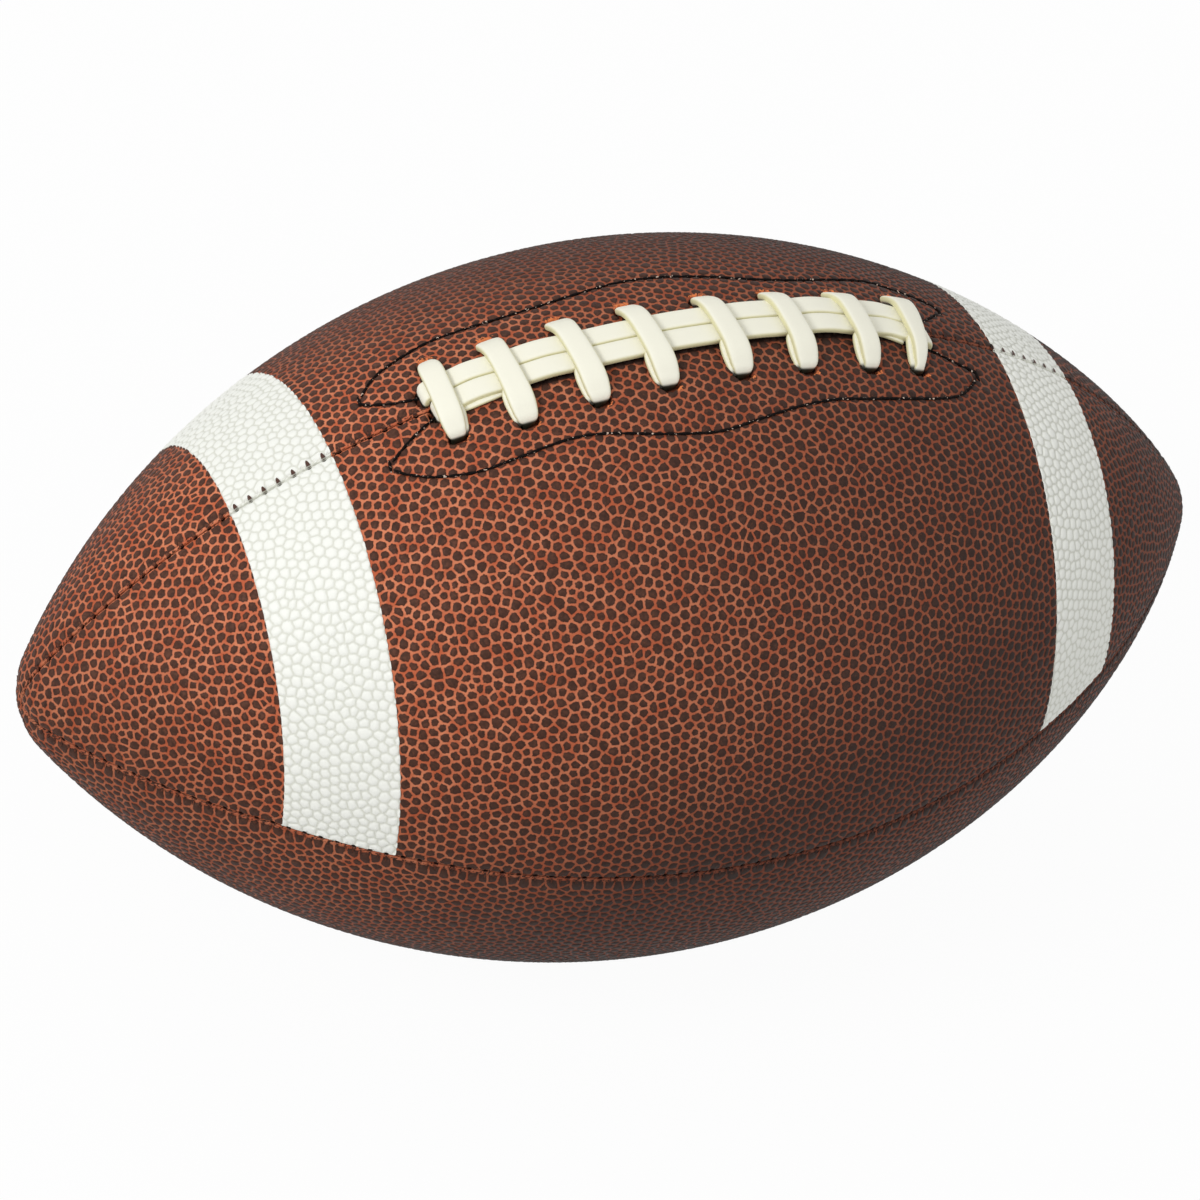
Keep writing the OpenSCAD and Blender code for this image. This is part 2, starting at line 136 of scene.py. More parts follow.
@dataclass(frozen=True)
class Skin:
    """Outer skin of the ball: one belly arc between two nose arcs, turned round X."""

    length: float
    width: float
    nose: float = 18.5 * MM
    bow_s: float = 105 * MM
    bow_turn: float = 4
    bow_sag: float = 0.4
    undo_steps: int = 5
    table_size: int = 6001
    table_margin: float = 0.3 * MM

    @cached_property
    def half_len(self) -> float:
        """Half the length of the ball."""
        return self.length / 2

    @cached_property
    def middle(self) -> float:
        """Height of the ball's axis over the ground, which is its largest radius too."""
        return self.width / 2

    @cached_property
    def belly(self) -> float:
        """Radius of the belly arc, tangent to both noses."""
        reach = self.half_len - self.nose
        return (reach**2 + self.middle**2 - self.nose**2) / (2 * (self.middle - self.nose))

    @cached_property
    def drop(self) -> float:
        """Distance of the belly arc's centre beyond the axis."""
        return self.belly - self.middle

    @cached_property
    def turn(self) -> float:
        """Lean of the skin where the belly meets a nose."""
        return math.asin((self.half_len - self.nose) / (self.belly - self.nose))

    @cached_property
    def belly_arc(self) -> float:
        """Distance over the skin from mid-length to a nose arc."""
        return self.belly * self.turn

    @cached_property
    def arc(self) -> float:
        """Distance over the skin from mid-length to a tip."""
        return self.belly_arc + self.nose * (QUARTER - self.turn)

    def lean(self, s: np.ndarray) -> np.ndarray:
        """Lean of the skin's normal at a distance along the skin.

        Args:
            s: Distance along the skin from mid-length.

        Returns:
            Angles from the upright, with the sign of s.
        """
        a = np.abs(s)
        on_nose = self.turn + (a - self.belly_arc) / self.nose
        return np.sign(s) * np.where(a <= self.belly_arc, a / self.belly, on_nose)

    def radius(self, s: np.ndarray, h: np.ndarray | float = 0.0) -> np.ndarray:
        """Distance from the axis, at height h over the skin."""
        c = np.cos(self.lean(s))
        return np.where(np.abs(s) <= self.belly_arc, (self.belly + h) * c - self.drop, (self.nose + h) * c)

    def axial(self, s: np.ndarray, h: np.ndarray | float = 0.0) -> np.ndarray:
        """Place along X, at height h over the skin.

        Args:
            s: Distance along the skin from mid-length.
            h: Height over the skin.

        Returns:
            Places along X.
        """
        w = np.sin(self.lean(s))
        end = np.sign(s) * (self.half_len - self.nose)
        return np.where(np.abs(s) <= self.belly_arc, (self.belly + h) * w, end + (self.nose + h) * w)

    def stray(self, s: np.ndarray, f: np.ndarray) -> np.ndarray:
        """How far the near side's leather has strayed upwards, so that its side seam bows towards both noses."""
        bow = np.minimum(self.bow_turn * (s / self.bow_s) ** 2 - self.bow_sag, self.bow_turn)
        return np.radians(bow) * np.where(f < 0, np.sin(f) ** 2, 0)

    def place(self, s: np.ndarray, f: np.ndarray, h: np.ndarray | float = 0.0) -> np.ndarray:
        """Points in the part's frame.

        Args:
            s: Distance along the skin from mid-length.
            f: Turn round the axis from the top seam, positive to the far side.
            h: Height over the skin.

        Returns:
            Points in rows.
        """
        r = self.radius(s, h)
        f = f + self.stray(s, f)
        return np.stack([self.axial(s, h), r * np.sin(f), self.middle + r * np.cos(f)], -1)

    def locate(self, points: np.ndarray) -> tuple[np.ndarray, np.ndarray, np.ndarray]:
        """Undoes place.

        Args:
            points: Points in rows.

        Returns:
            s, f and h of each point.
        """
        x, y, z = points[:, 0], points[:, 1], points[:, 2] - self.middle
        r = np.hypot(y, z)
        w = np.arctan2(np.abs(x), r + self.drop)
        over = np.abs(x) - (self.half_len - self.nose)
        w_nose = np.arctan2(over, r)
        on_belly = w <= self.turn
        s = np.where(on_belly, w * self.belly, self.belly_arc + (w_nose - self.turn) * self.nose)
        h = np.where(on_belly, np.hypot(x, r + self.drop) - self.belly, np.hypot(over, r) - self.nose)
        s, turned = np.sign(x) * s, np.arctan2(y, z)
        f = turned
        for _ in range(self.undo_steps):
            f = turned - self.stray(s, f)
        return s, f, h

    @cached_property
    def even_table(self) -> tuple[np.ndarray, np.ndarray]:
        """Distances along the skin, and the even-angled map's own coordinate at each.

        Returns:
            Distances in rising order, and the coordinates.
        """
        end = self.arc - self.table_margin
        s = np.linspace(-end, end, self.table_size)
        rate = 1 / self.radius(s)
        u = np.concatenate([[0], np.cumsum((rate[1:] + rate[:-1]) / 2 * np.diff(s))])
        return s, u - u[-1] / 2

    def even(self, s: np.ndarray) -> np.ndarray:
        """Coordinate of the even-angled map, in which small shapes keep their form."""
        return np.interp(s, *self.even_table)

    def uneven(self, u: np.ndarray) -> np.ndarray:
        """Undoes even."""
        table_s, table_u = self.even_table
        return np.interp(u, table_u, table_s)


@dataclass(frozen=True)
class Lacing:
    """Lace holes, lace and stitched outlines: the solids' sizes, and the photo's strays in millimetres."""

    crossings: int = 8
    pitch: float = 16.1 * MM
    hole_g: float = 12.4 * MM
    hole_r: float = 2.7 * MM
    width: float = 5.5 * MM
    thickness: float = 1.8 * MM
    neck: float = 3.9 * MM
    under: float = 1.4 * MM
    under_h: float = -4.5 * MM
    run_h: float = 1.0 * MM
    cross_h: float = 3.0 * MM
    run_g: float = 2.77 * MM
    dive: float = 0.7 * MM
    slips: tuple[float, float] = (1.2, 2.9)
    notch_s: float = 59.2 * MM
    near_shifts: tuple[float, ...] = (0.5, -0.1, 0.5, 0.5, 2.0, 1.9, 2.4, -0.4)
    far_shifts: tuple[float, ...] = (1.3, -0.65, -0.8, -0.95, 0.65, 1.15, 2.4, 2.6)
    near_reach: tuple[float, ...] = (-2.6, 0, 0.1, 0, 0, 0.1, 0, -0.3)
    far_reach: tuple[float, ...] = (0.5, 0.1, -0.1, -0.5, -1.3, -1.7, -1.8, -1.4)
    near_widths: tuple[float, ...] = (1, 1.12, 1.12, 1.1, 1.1, 1.1, 0.95, 0.56)
    far_widths: tuple[float, ...] = (0.8, 1.33, 1.36, 1.15, 1.1, 1.2, 1.7, 1.5)
    bay_lifts: tuple[float, ...] = (0.35, 0.4, 0.1, 0.1, 0.2, 0.5, 0.1)
    bay_drifts: tuple[float, ...] = (1.2, 2.0, 1.6, 1.15, 1.3, 1.6, 2.1, 1.9, 0.3)
    smoothing: int = 6
    near_outline: tuple[tuple[float, float], ...] = (
        (-59, 2.7), (-65, 5.3), (-72, 9.5), (-70, 12.5), (-64, 16.5), (-55, 19.4), (-45, 19.7), (-35, 19.3),
        (-27, 20.1), (-15, 23.4), (-7, 25.1), (0, 25.8), (8, 24.6), (20, 22.2), (30, 20.9), (40, 20.8),
        (55, 19.9), (64, 18.2), (70, 14.5), (74, 10.2), (68, 8), (61, 4.7),
    )
    far_outline: tuple[tuple[float, float], ...] = (
        (-60, 4.2), (-66, 6), (-72.5, 10), (-70, 13), (-64.5, 17.2), (-53, 20.6), (-45, 20.8), (-35, 20.5),
        (-25, 20.9), (-15, 22.1), (-5, 23.2), (5, 22.5), (15, 20.5), (25, 18.3), (35, 17.6), (45, 18.5),
        (56, 19.5), (62.5, 17.4), (70, 14.2), (74.2, 10.7), (70, 7.8), (66, 5.2),
    )

    def hole(self, k: int, side: Side) -> np.ndarray:
        """Place of a lace hole on the skin: s, and g over the skin from the top seam.

        Args:
            k: Number of the crossing, from the left.
            side: Side of the seam.

        Returns:
            s and g of the hole.
        """
        shifts = side.pick(self.near_shifts, self.far_shifts)
        reach = side.pick(self.near_reach, self.far_reach)
        s = (k - (self.crossings - 1) / 2) * self.pitch + shifts[k] * MM
        return np.array([s, side.value * (self.hole_g + reach[k] * MM)])

    def bays(self, s: np.ndarray) -> tuple[np.ndarray, np.ndarray]:
        """How far the strands arch up, and drift to the far side, between the crossings that hold them.

        Args:
            s: Distance along the skin from mid-length.

        Returns:
            Rise and drift at each distance.
        """
        middles = np.array([self.hole(k, Side.NEAR)[0] + self.hole(k, Side.FAR)[0] for k in range(self.crossings)]) / 2
        bay = np.clip(np.searchsorted(middles, s) - 1, 0, len(middles) - 2)
        t = (s - middles[bay]) / (middles[bay + 1] - middles[bay])
        rise = np.sin(math.pi * np.clip(t, 0, 1)) ** 2 * np.array(self.bay_lifts)[bay]
        stations = np.array([-self.notch_s, *(middles[:-1] + middles[1:]) / 2, self.notch_s])
        drifts = np.array(self.bay_drifts)
        k = np.clip(np.searchsorted(stations, s) - 1, 0, len(stations) - 2)
        drift = drifts[k] + (drifts[k + 1] - drifts[k]) * smooth(s, stations[k], stations[k + 1])
        return rise * MM, drift * MM

    def notch(self, end: End, side: Side) -> np.ndarray:
        """Place where a strand dives at an end of the slit.

        Args:
            end: End of the slit.
            side: Side of the seam.

        Returns:
            s and g of the notch.
        """
        slip = end.pick(*self.slips) * MM if side is Side.NEAR else 0
        drift = end.pick(self.bay_drifts[0], self.bay_drifts[-1]) * MM
        return np.array([end.value * self.notch_s + slip, side.value * self.run_g + drift])

    def outline(self, side: Side) -> np.ndarray:
        """Stitched outline round one row of lace holes, as smooth rows of s and distance from the seam.

        Args:
            side: Side of the seam.

        Returns:
            The rows.
        """
        whole = np.array(side.pick(self.near_outline, self.far_outline)) * MM
        left, right = 2, len(whole) - 3
        legs = [through(leg, self.smoothing) for leg in (whole[:left + 1], whole[left:right + 1], whole[right:])]
        return np.vstack([legs[0][:-1], legs[1], legs[2][1:]])


@dataclass(frozen=True)
class Seams:
    """How two turned-in leather edges meet."""

    pitch: float = 3.67 * MM
    margin: float = 0.5 * MM
    sink: float = 0.5 * MM
    reach: float = 1.1 * MM
    pucker: float = 0.16 * MM
    pucker_even: float = 0.6
    pucker_reach: float = 1.4 * MM
    hole_w: float = 0.3 * MM
    hole_s: float = 0.62 * MM
    hole_sag: float = 0.25 * MM
    hole_shade: float = 0.5
    tip_gap: float = 0.6 * MM
    roll_from: float = 0.7 * MM
    roll_w: float = 0.6 * MM
    widest: float = 0.9
    drawn: float = 0.55
    drawn_reach: float = 3.2 * MM
    notch_w: float = 0.95 * MM
    finger_w: float = 0.5 * MM
    notch_long: float = 1.4 * MM
    notch_even: float = 0.9 * MM
    notch_short: float = 0.25 * MM
    notch_gap: float = 0.18 * MM
    notch_lift: float = 0.12 * MM
    notch_stray: float = 0.1 * MM
    notch_spread: tuple[float, float] = (0.85, 1.1)
    notch_tip: float = 6 * MM
    notch_rise: float = 0.6
    # share of the notches' painted shade on the leather, off the stripes
    dulled: float = 0.45
    edge_rises: tuple[float, ...] = (0.0, 0.15, 0.8)
    # columns: place across the notch, share of its reach from the seam, and its painted shade
    notch_shape: tuple[tuple[float, float, float], ...] = (
        (-1, 0, 1), (-0.9, 0.4, 1), (-0.5, 0.82, 1), (0, 1, 1), (0.5, 0.82, 1), (0.9, 0.4, 1), (1, 0, 1),
    )
    columns: tuple[float, ...] = (-0.5, -0.36, -0.26, -0.17, -0.1, -0.04, 0.04, 0.1, 0.17, 0.26, 0.36)
    # columns: gap from the seam and height in millimetres, and painted shade in the seam's crevice
    edge_rows: tuple[tuple[float, float, float], ...] = (
        (1.0, -0.45, 0), (0.62, -0.2, 0), (0.44, -0.12, 0), (0.28, -0.2, 0.1),
        (0.14, -0.42, 0.35), (0.06, -0.85, 0.8), (0.05, -1.5, 1), (0.05, -3.0, 1),
    )

    def hole(self, s: np.ndarray) -> np.ndarray:
        """How far the edges draw back at each stitch, from 0 to 1."""
        off = (s / self.pitch - np.round(s / self.pitch)) * self.pitch
        return np.clip(1 - (off / self.hole_s) ** 2, 0, 1)


@dataclass(frozen=True)
class Grain:
    """Pebbles of the leather."""

    pitch: float = 2.5 * MM
    row_share: float = 0.866
    jitter: float = 0.37
    row_inset: float = 0.4
    offsets: tuple[float, float] = (0.25, 0.75)
    edge_inset: float = 0.1
    relaxing: int = 3
    relax: tuple[float, float] = (0.3, 0.7)
    mirror_rows: float = 3.2
    mirror_end: float = 2.5
    least: float = 1e-12
    shoulder: float = 0.34 * MM
    rounding: float = 0.85
    flat: float = 0.26 * MM
    height: float = 0.34 * MM
    crown: float = 0.05 * MM
    depth: float = 0.36 * MM
    seed: int = 11


@dataclass(frozen=True)
class Patches:
    """Noise in features per metre, whose range from low to high becomes another."""

    scale: float
    low: float = 0.2
    high: float = 0.8
    to_low: float = 0.0
    to_high: float = 1.0
    detail: float = 3.0


class Tree:
    """Small helper that adds and links nodes in a node tree."""

    def __init__(self, tree: bpy.types.NodeTree) -> None:
        """Keeps the tree.

        Args:
            tree: Tree to add to.
        """
        self.tree = tree

    def add(self, kind: str, inputs: dict[str | int, object] | None = None, **options: object) -> bpy.types.Node:
        """Adds one node.

        Args:
            kind: Node type.
            inputs: A value or an output socket for each named or numbered input.
            options: Properties to set on the node first.

        Returns:
            The node.
        """
        node = self.tree.nodes.new(kind)
        for name, value in options.items():
            setattr(node, name, value)
        for key, value in (inputs or {}).items():
            self.feed(node.inputs[key], value)
        return node

    def feed(self, socket: bpy.types.NodeSocket, value: object) -> None:
        """Sets an input socket, or links an output to it.

        Args:
            socket: Input socket.
            value: Value or output socket.
        """
        if isinstance(value, bpy.types.NodeSocket):
            self.tree.links.new(value, socket)
        else:
            socket.default_value = value

    def math(self, operation: str, *values: object, clamp: bool = False) -> bpy.types.NodeSocket:
        """Adds a Math node and gives its output."""
        node = self.add("ShaderNodeMath", dict(enumerate(values)), operation=operation, use_clamp=clamp)
        return node.outputs[0]

    def vector(self, operation: str, *values: object, out: int = 0) -> bpy.types.NodeSocket:
        """Adds a Vector Math node and gives one of its outputs."""
        node = self.add("ShaderNodeVectorMath", dict(enumerate(values)), operation=operation)
        return node.outputs[out]

    def scaled(self, value: object, factor: object) -> bpy.types.NodeSocket:
        """Scales a vector."""
        return self.add("ShaderNodeVectorMath", {0: value, "Scale": factor}, operation="SCALE").outputs[0]

    def attribute(self, name: str) -> bpy.types.NodeSocket:
        """Reads a number stored on the mesh, in a material."""
        return self.add("ShaderNodeAttribute", attribute_name=name).outputs["Fac"]

    def noise(self, scale: float, detail: float = 3.0) -> bpy.types.NodeSocket:
        """Noise on the piece's own coordinates, in features per metre."""
        coords = self.add("ShaderNodeTexCoord").outputs["Object"]
        return self.add("ShaderNodeTexNoise", {"Vector": coords, "Scale": scale, "Detail": detail}).outputs["Fac"]

    def patches(self, kind: Patches) -> bpy.types.NodeSocket:
        """Noise with its middle range eased to another."""
        return self.ease(self.noise(kind.scale, kind.detail), kind.low, kind.high, kind.to_low, kind.to_high)

    def place(self) -> tuple[bpy.types.NodeSocket, ...]:
        """The piece's own coordinates, one by one."""
        coords = self.add("ShaderNodeTexCoord").outputs["Object"]
        return tuple(self.add("ShaderNodeSeparateXYZ", {0: coords}).outputs)

    def ease(
        self, value: object, low: float, high: float, to_low: float = 0.0, to_high: float = 1.0
    ) -> bpy.types.NodeSocket:
        """Maps a range to another with soft ends."""
        inputs = {"Value": value, "From Min": low, "From Max": high, "To Min": to_low, "To Max": to_high}
        return self.add("ShaderNodeMapRange", inputs, interpolation_type="SMOOTHSTEP").outputs[0]

    def blend(self, factor: object, a: object, b: object) -> bpy.types.NodeSocket:
        """Mixes two colours, each an output or a colour as the eye reads it.

        Args:
            factor: Share of the second colour.
            a: First colour.
            b: Second colour.

        Returns:
            The output.
        """
        node = self.add("ShaderNodeMix", data_type="RGBA")
        for number, value in ((0, factor), (6, a), (7, b)):
            self.feed(node.inputs[number], srgb(*value) if isinstance(value, tuple) else value)
        return node.outputs[2]

    def close(self, mesh: bpy.types.NodeSocket, material: bpy.types.NodeSocket, leave: bpy.types.Node) -> None:
        """Ends a geometry tree: instances made real, then the material.

        Args:
            mesh: Mesh so far.
            material: Output that holds the material.
            leave: Output node of the tree.
        """
        real = self.add("GeometryNodeRealizeInstances", {"Geometry": mesh}).outputs[0]
        dressed = self.add("GeometryNodeSetMaterial", {"Geometry": real, "Material": material}).outputs[0]
        self.feed(leave.inputs[0], dressed)

    def bump(self, height: object, distance: float, strength: float = 1.0) -> bpy.types.NodeSocket:
        """Bump from a height."""
        return self.add("ShaderNodeBump", {"Height": height, "Distance": distance, "Strength": strength}).outputs[0]


def srgb(red: int, green: int, blue: int) -> tuple[float, float, float, float]:
    """Colour as the eye reads it, 0 to 255, made linear."""
    parts = (c / 255 for c in (red, green, blue))
    return (*(c / 12.92 if c <= 0.04045 else ((c + 0.055) / 1.055) ** 2.4 for c in parts), 1.0)


@dataclass(frozen=True)
class FineGrain:
    """Fine bumps of a surface: noise in features per metre, its detail, and the bumps' depth and strength."""

    scale: float
    detail: float
    depth: float
    strength: float = 0.8


@dataclass(frozen=True)
class Finish:
    """Base of every finish: a named material with a Principled shader."""

    name: str
    specular: ClassVar[float] = 0.5

    @property
    def sheen(self) -> Patches:
        """How the surface's roughness wanders."""
        raise NotImplementedError

    @property
    def fine(self) -> FineGrain:
        """Its fine bumps."""
        raise NotImplementedError

    def colour(self, tree: Tree) -> bpy.types.NodeSocket:
        """Makes the nodes of its colour."""
        raise NotImplementedError

    def bumps(self, tree: Tree) -> bpy.types.NodeSocket:
        """Height of its fine bumps."""
        return tree.noise(self.fine.scale, self.fine.detail)

    def build(self) -> bpy.types.Material:
        """Makes the material once and gives it back each time.

        Returns:
            The material.
        """
        found = bpy.data.materials.get(self.name)
        if found:
            return found
        material = bpy.data.materials.new(self.name)
        material.use_nodes = True
        tree = Tree(material.node_tree)
        shader = material.node_tree.nodes["Principled BSDF"].inputs
        tree.feed(shader["Base Color"], self.colour(tree))
        tree.feed(shader["Roughness"], tree.patches(self.sheen))
        shader["Specular IOR Level"].default_value = self.specular
        tree.feed(shader["Normal"], tree.bump(self.bumps(tree), self.fine.depth, self.fine.strength))
        return material


@dataclass(frozen=True)
class PebbledLeather(Finish):
    """Dark pebble tops over a rusty orange ground, with painted shade that darkens both towards one end and below."""

    top: Colour = (81, 49, 36)
    top_worn: Colour = (107, 67, 51)
    # painted shade colour of the pebble tops
    top_shaded: Colour = (42, 31, 27)
    ground: Colour = (202, 101, 64)
    ground_pale: Colour = (231, 143, 104)
    # painted shade colour of the ground
    ground_shaded: Colour = (112, 60, 43)
    torn: Colour = (232, 132, 78)
    # darkest hide tone: it tints some pebble tops and their flanks, and is the painted shade in seams, dents, holes and
    # under the strands
    deep: Colour = (34, 20, 16)
    uneven: Patches = Patches(1500, to_low=-0.16, to_high=0.16)
    wear: Patches = Patches(900, 0.35, 0.75)
    mottle: Patches = Patches(260, 0.3, 0.7)
    fray: Patches = Patches(1700, 0.3, 0.7, -0.45, 0.45, 2)
    tinting: Ramp = (0, 1, 0, 0.25)
    flank: Ramp = (1.0, 0.82, 0, 0.35)
    slope: Ramp = (0.3, 0.72, 0, 1)
    depth_shading: Ramp = (0.1, 0.7, 0, 1)
    fraying: Ramp = (0.4, 0.75, 0, 1)
    # ramps of the painted shade over the piece's own coordinates
    shade_right: Ramp = (-0.12, 0.08, 0, 0.86)
    shade_low: Ramp = (0.138, 0.055, 0, 0.78)
    shade_low_along: Ramp = (-0.1, 0, 0.72, 1)
    shade_nose: Ramp = (-0.08, -0.12, 0, 0.08)
    shade_far: Ramp = (0.008, 0.05, 0, 0.6)
    shade_far_along: Ramp = (0.03, -0.05, 0.6, 1)
    shade_most: float = 0.94
    sheen: Patches = Patches(1200, to_low=0.5, to_high=0.66)
    specular: float = 0.16
    fine: FineGrain = FineGrain(5200, 2, 0.05 * MM, 0.6)
    coarse: FineGrain = FineGrain(2100, 2, 0.05 * MM, 1.6)

    def bumps(self, tree: Tree) -> bpy.types.NodeSocket:
        """Height of its fine bumps over coarser ones."""
        coarse = tree.noise(self.coarse.scale, self.coarse.detail)
        return tree.math("ADD", super().bumps(tree), tree.math("MULTIPLY", coarse, self.coarse.strength))

    def painted_shade(self, tree: Tree) -> bpy.types.NodeSocket:
        """How much painted shade darkens the hide, from the paler end to the other end and below.

        Args:
            tree: Helper on the material's tree.

        Returns:
            The output.
        """
        x, _, z = tree.place()
        low = tree.math("MULTIPLY", tree.ease(z, *self.shade_low), tree.ease(x, *self.shade_low_along))
        return tree.math("MULTIPLY", tree.math("ADD", tree.ease(x, *self.shade_right), low, clamp=True), self.shade_most)

    def aside(self, tree: Tree) -> bpy.types.NodeSocket:
        """How much more painted shade darkens the ground at the paler nose and on the far side.

        Args:
            tree: Helper on the material's tree.

        Returns:
            The output.
        """
        x, y, _ = tree.place()
        far = tree.math("MULTIPLY", tree.ease(y, *self.shade_far), tree.ease(x, *self.shade_far_along))
        return tree.math("ADD", tree.ease(x, *self.shade_nose), far)

    def colour(self, tree: Tree) -> bpy.types.NodeSocket:
        """Makes the nodes of its colour, from the mesh's rise, tint, depth and torn; the depth is painted shade in
        seams, dents, holes and under the strands.

        Args:
            tree: Helper on the material's tree.

        Returns:
            The output.
        """
        rise = tree.math("ADD", tree.attribute("rise"), tree.patches(self.uneven))
        tops = tree.blend(tree.patches(self.wear), self.top, self.top_worn)
        tops = tree.blend(tree.ease(tree.attribute("tint"), *self.tinting), tops, self.deep)
        # painted shade on the tops towards one end and below
        tops = tree.blend(self.painted_shade(tree), tops, self.top_shaded)
        tops = tree.blend(tree.ease(rise, *self.flank), tops, self.deep)
        ground = tree.blend(tree.patches(self.mottle), self.ground, self.ground_pale)
        # painted shade on the ground towards one end, below, at the paler nose and on the far side
        sunk = tree.math("ADD", self.painted_shade(tree), self.aside(tree), clamp=True)
        colour = tree.blend(tree.ease(rise, *self.slope), tree.blend(sunk, ground, self.ground_shaded), tops)
        # painted shade where the mesh's depth marks seams, dents, holes and the strands' shadow
        colour = tree.blend(tree.ease(tree.attribute("depth"), *self.depth_shading), colour, self.deep)
        fray = tree.math("ADD", tree.attribute("torn"), tree.patches(self.fray))
        return tree.blend(tree.ease(fray, *self.fraying), colour, self.torn)


@dataclass(frozen=True)
class WhiteCoat(Finish):
    """White coat over pebbled leather, with painted shade that greys its valleys and darkens its stitch holes."""

    coat: Colour = (249, 250, 243)
    valley_shade: Colour = (226, 227, 216)
    # painted shade in the stitch holes and notches across the stripe
    deep: Colour = (70, 38, 25)
    slope: Ramp = (0.1, 0.8, 0, 1)
    depth_shading: Ramp = (0.86, 0.97, 0, 1)
    sheen: Patches = Patches(700, to_low=0.45, to_high=0.6)
    specular: float = 0.35
    fine: FineGrain = FineGrain(3800, 2, 0.03 * MM, 0.5)

    def colour(self, tree: Tree) -> bpy.types.NodeSocket:
        """Makes the nodes of its colour."""
        colour = tree.blend(tree.ease(tree.attribute("rise"), *self.slope), self.valley_shade, self.coat)
        return tree.blend(tree.ease(tree.attribute("depth"), *self.depth_shading), colour, self.deep)


@dataclass(frozen=True)
class Vinyl(Finish):
    """Cream vinyl of the lace, with painted shade along its edges and a painted shadow where it dips into a hole."""

    face: Colour = (251, 249, 232)
    # painted shade along the lace's rounded edges
    edge: Colour = (224, 219, 176)
    shaded: Colour = (40, 38, 28)
    edge_shading: Ramp = (0.25, 1.0, 0, 1)
    shading: Ramp = (0.1, 1.0, 0, 1)
    sheen: Patches = Patches(500, to_low=0.42, to_high=0.56)
    specular: float = 0.3
    fine: FineGrain = FineGrain(2300, 3, 0.07 * MM, 0.6)

    def colour(self, tree: Tree) -> bpy.types.NodeSocket:
        """Makes the nodes of its colour."""
        colour = tree.blend(tree.ease(tree.attribute("rim"), *self.edge_shading), self.face, self.edge)
        return tree.blend(tree.ease(tree.attribute("dip"), *self.shading), colour, self.shaded)


@dataclass(frozen=True)
class WaxedThread(Finish):
    """Near-black waxed thread with a few pale glints."""

    fibre: Colour = (9, 8, 8)
    worn: Colour = (30, 26, 25)
    glint: Colour = (214, 190, 172)
    wear: Patches = Patches(3600, 0.3, 0.7, detail=4)
    glints: Patches = Patches(1500, 0.65, 0.7, detail=1)
    sheen: Patches = Patches(1200, to_low=0.5, to_high=0.66)
    specular: float = 0.03
    fine: FineGrain = FineGrain(3600, 4, 0.08 * MM)

    def colour(self, tree: Tree) -> bpy.types.NodeSocket:
        """Makes the nodes of its colour."""
        colour = tree.blend(tree.patches(self.wear), self.fibre, self.worn)
        return tree.blend(tree.patches(self.glints), colour, self.glint)


@dataclass(frozen=True)
class Plain(Finish):
    """Cloth, rubber or thread that one colour pair and a grain describe."""

    low: Colour
    high: Colour
    scale: float
    rough: float
    depth: float

    @property
    def sheen(self) -> Patches:
        """How the surface's roughness wanders, in larger patches than the grain."""
        return Patches(self.scale / 3, to_low=self.rough - 0.08, to_high=self.rough + 0.08)

    @property
    def fine(self) -> FineGrain:
        """Its fine bumps."""
        return FineGrain(self.scale, 4, self.depth)

    def colour(self, tree: Tree) -> bpy.types.NodeSocket:
        """Makes the nodes of its colour."""
        return tree.blend(tree.patches(Patches(self.scale, 0.3, 0.7, detail=4)), self.low, self.high)


LEATHER = PebbledLeather("pebbled_leather")
COAT = WhiteCoat("pebbled_coat")
VINYL = Vinyl("cream_vinyl")
BLACK_THREAD = WaxedThread("waxed_thread")
LINING_CLOTH = Plain("woven_lining", (188, 178, 158), (214, 206, 188), 2400, 0.85, 0.12 * MM)
FACING_LEATHER = Plain("smooth_leather", (52, 36, 29), (78, 56, 45), 1600, 0.7, 0.1 * MM)
SEAM_THREAD = Plain("tan_thread", (176, 112, 64), (208, 146, 92), 3600, 0.6, 0.08 * MM)
BLADDER_RUBBER = Plain("thin_rubber", (34, 38, 42), (52, 57, 62), 900, 0.5, 0.05 * MM)
VALVE_RUBBER = Plain("moulded_rubber", (30, 32, 35), (50, 53, 58), 1500, 0.45, 0.05 * MM)


def linked(name: str, data: bpy.types.ID) -> bpy.types.Object:
    """Makes an object at the origin and puts it in the scene.

    Args:
        name: Name of the object.
        data: Mesh, lamp or camera that it holds.

    Returns:
        The object.
    """
    item = bpy.data.objects.new(name, data)
    bpy.context.scene.collection.objects.link(item)
    return item


def new_piece(name: str, points: np.ndarray, faces: list, finish: Finish) -> bpy.types.Object:
    """Makes a smooth mesh object at the origin.

    Args:
        name: Name of the piece.
        points: Its vertices in rows.
        faces: Its faces as lists of vertex numbers, turned outwards.
        finish: Its finish.

    Returns:
        The object.
    """
    mesh = bpy.data.meshes.new(name)
    mesh.from_pydata(points.tolist(), [], faces)
    mesh.shade_smooth()
    mesh.materials.append(finish.build())
    return linked(name, mesh)


def grid_quads(rows: int, columns: int, start: int = 0, flipped: bool = False) -> np.ndarray:
    """Faces of a grid of points.

    Args:
        rows: Number of its rows.
        columns: Number of its columns.
        start: Number of its first point.
        flipped: Whether the faces turn to their other side.

    Returns:
        Rows of four point numbers.
    """
    number = np.arange(rows * columns).reshape(rows, columns) + start
    quads = np.stack([number[:-1, :-1], number[:-1, 1:], number[1:, 1:], number[1:, :-1]], -1).reshape(-1, 4)
    return quads[:, ::-1] if flipped else quads


def store(mesh: bpy.types.Mesh, name: str, values: np.ndarray, domain: str = "POINT") -> None:
    """Writes one number for each point or face of a mesh."""
    layer = mesh.attributes.get(name) or mesh.attributes.new(name, "FLOAT", domain)
    layer.data.foreach_set("value", np.asarray(values, np.float32))


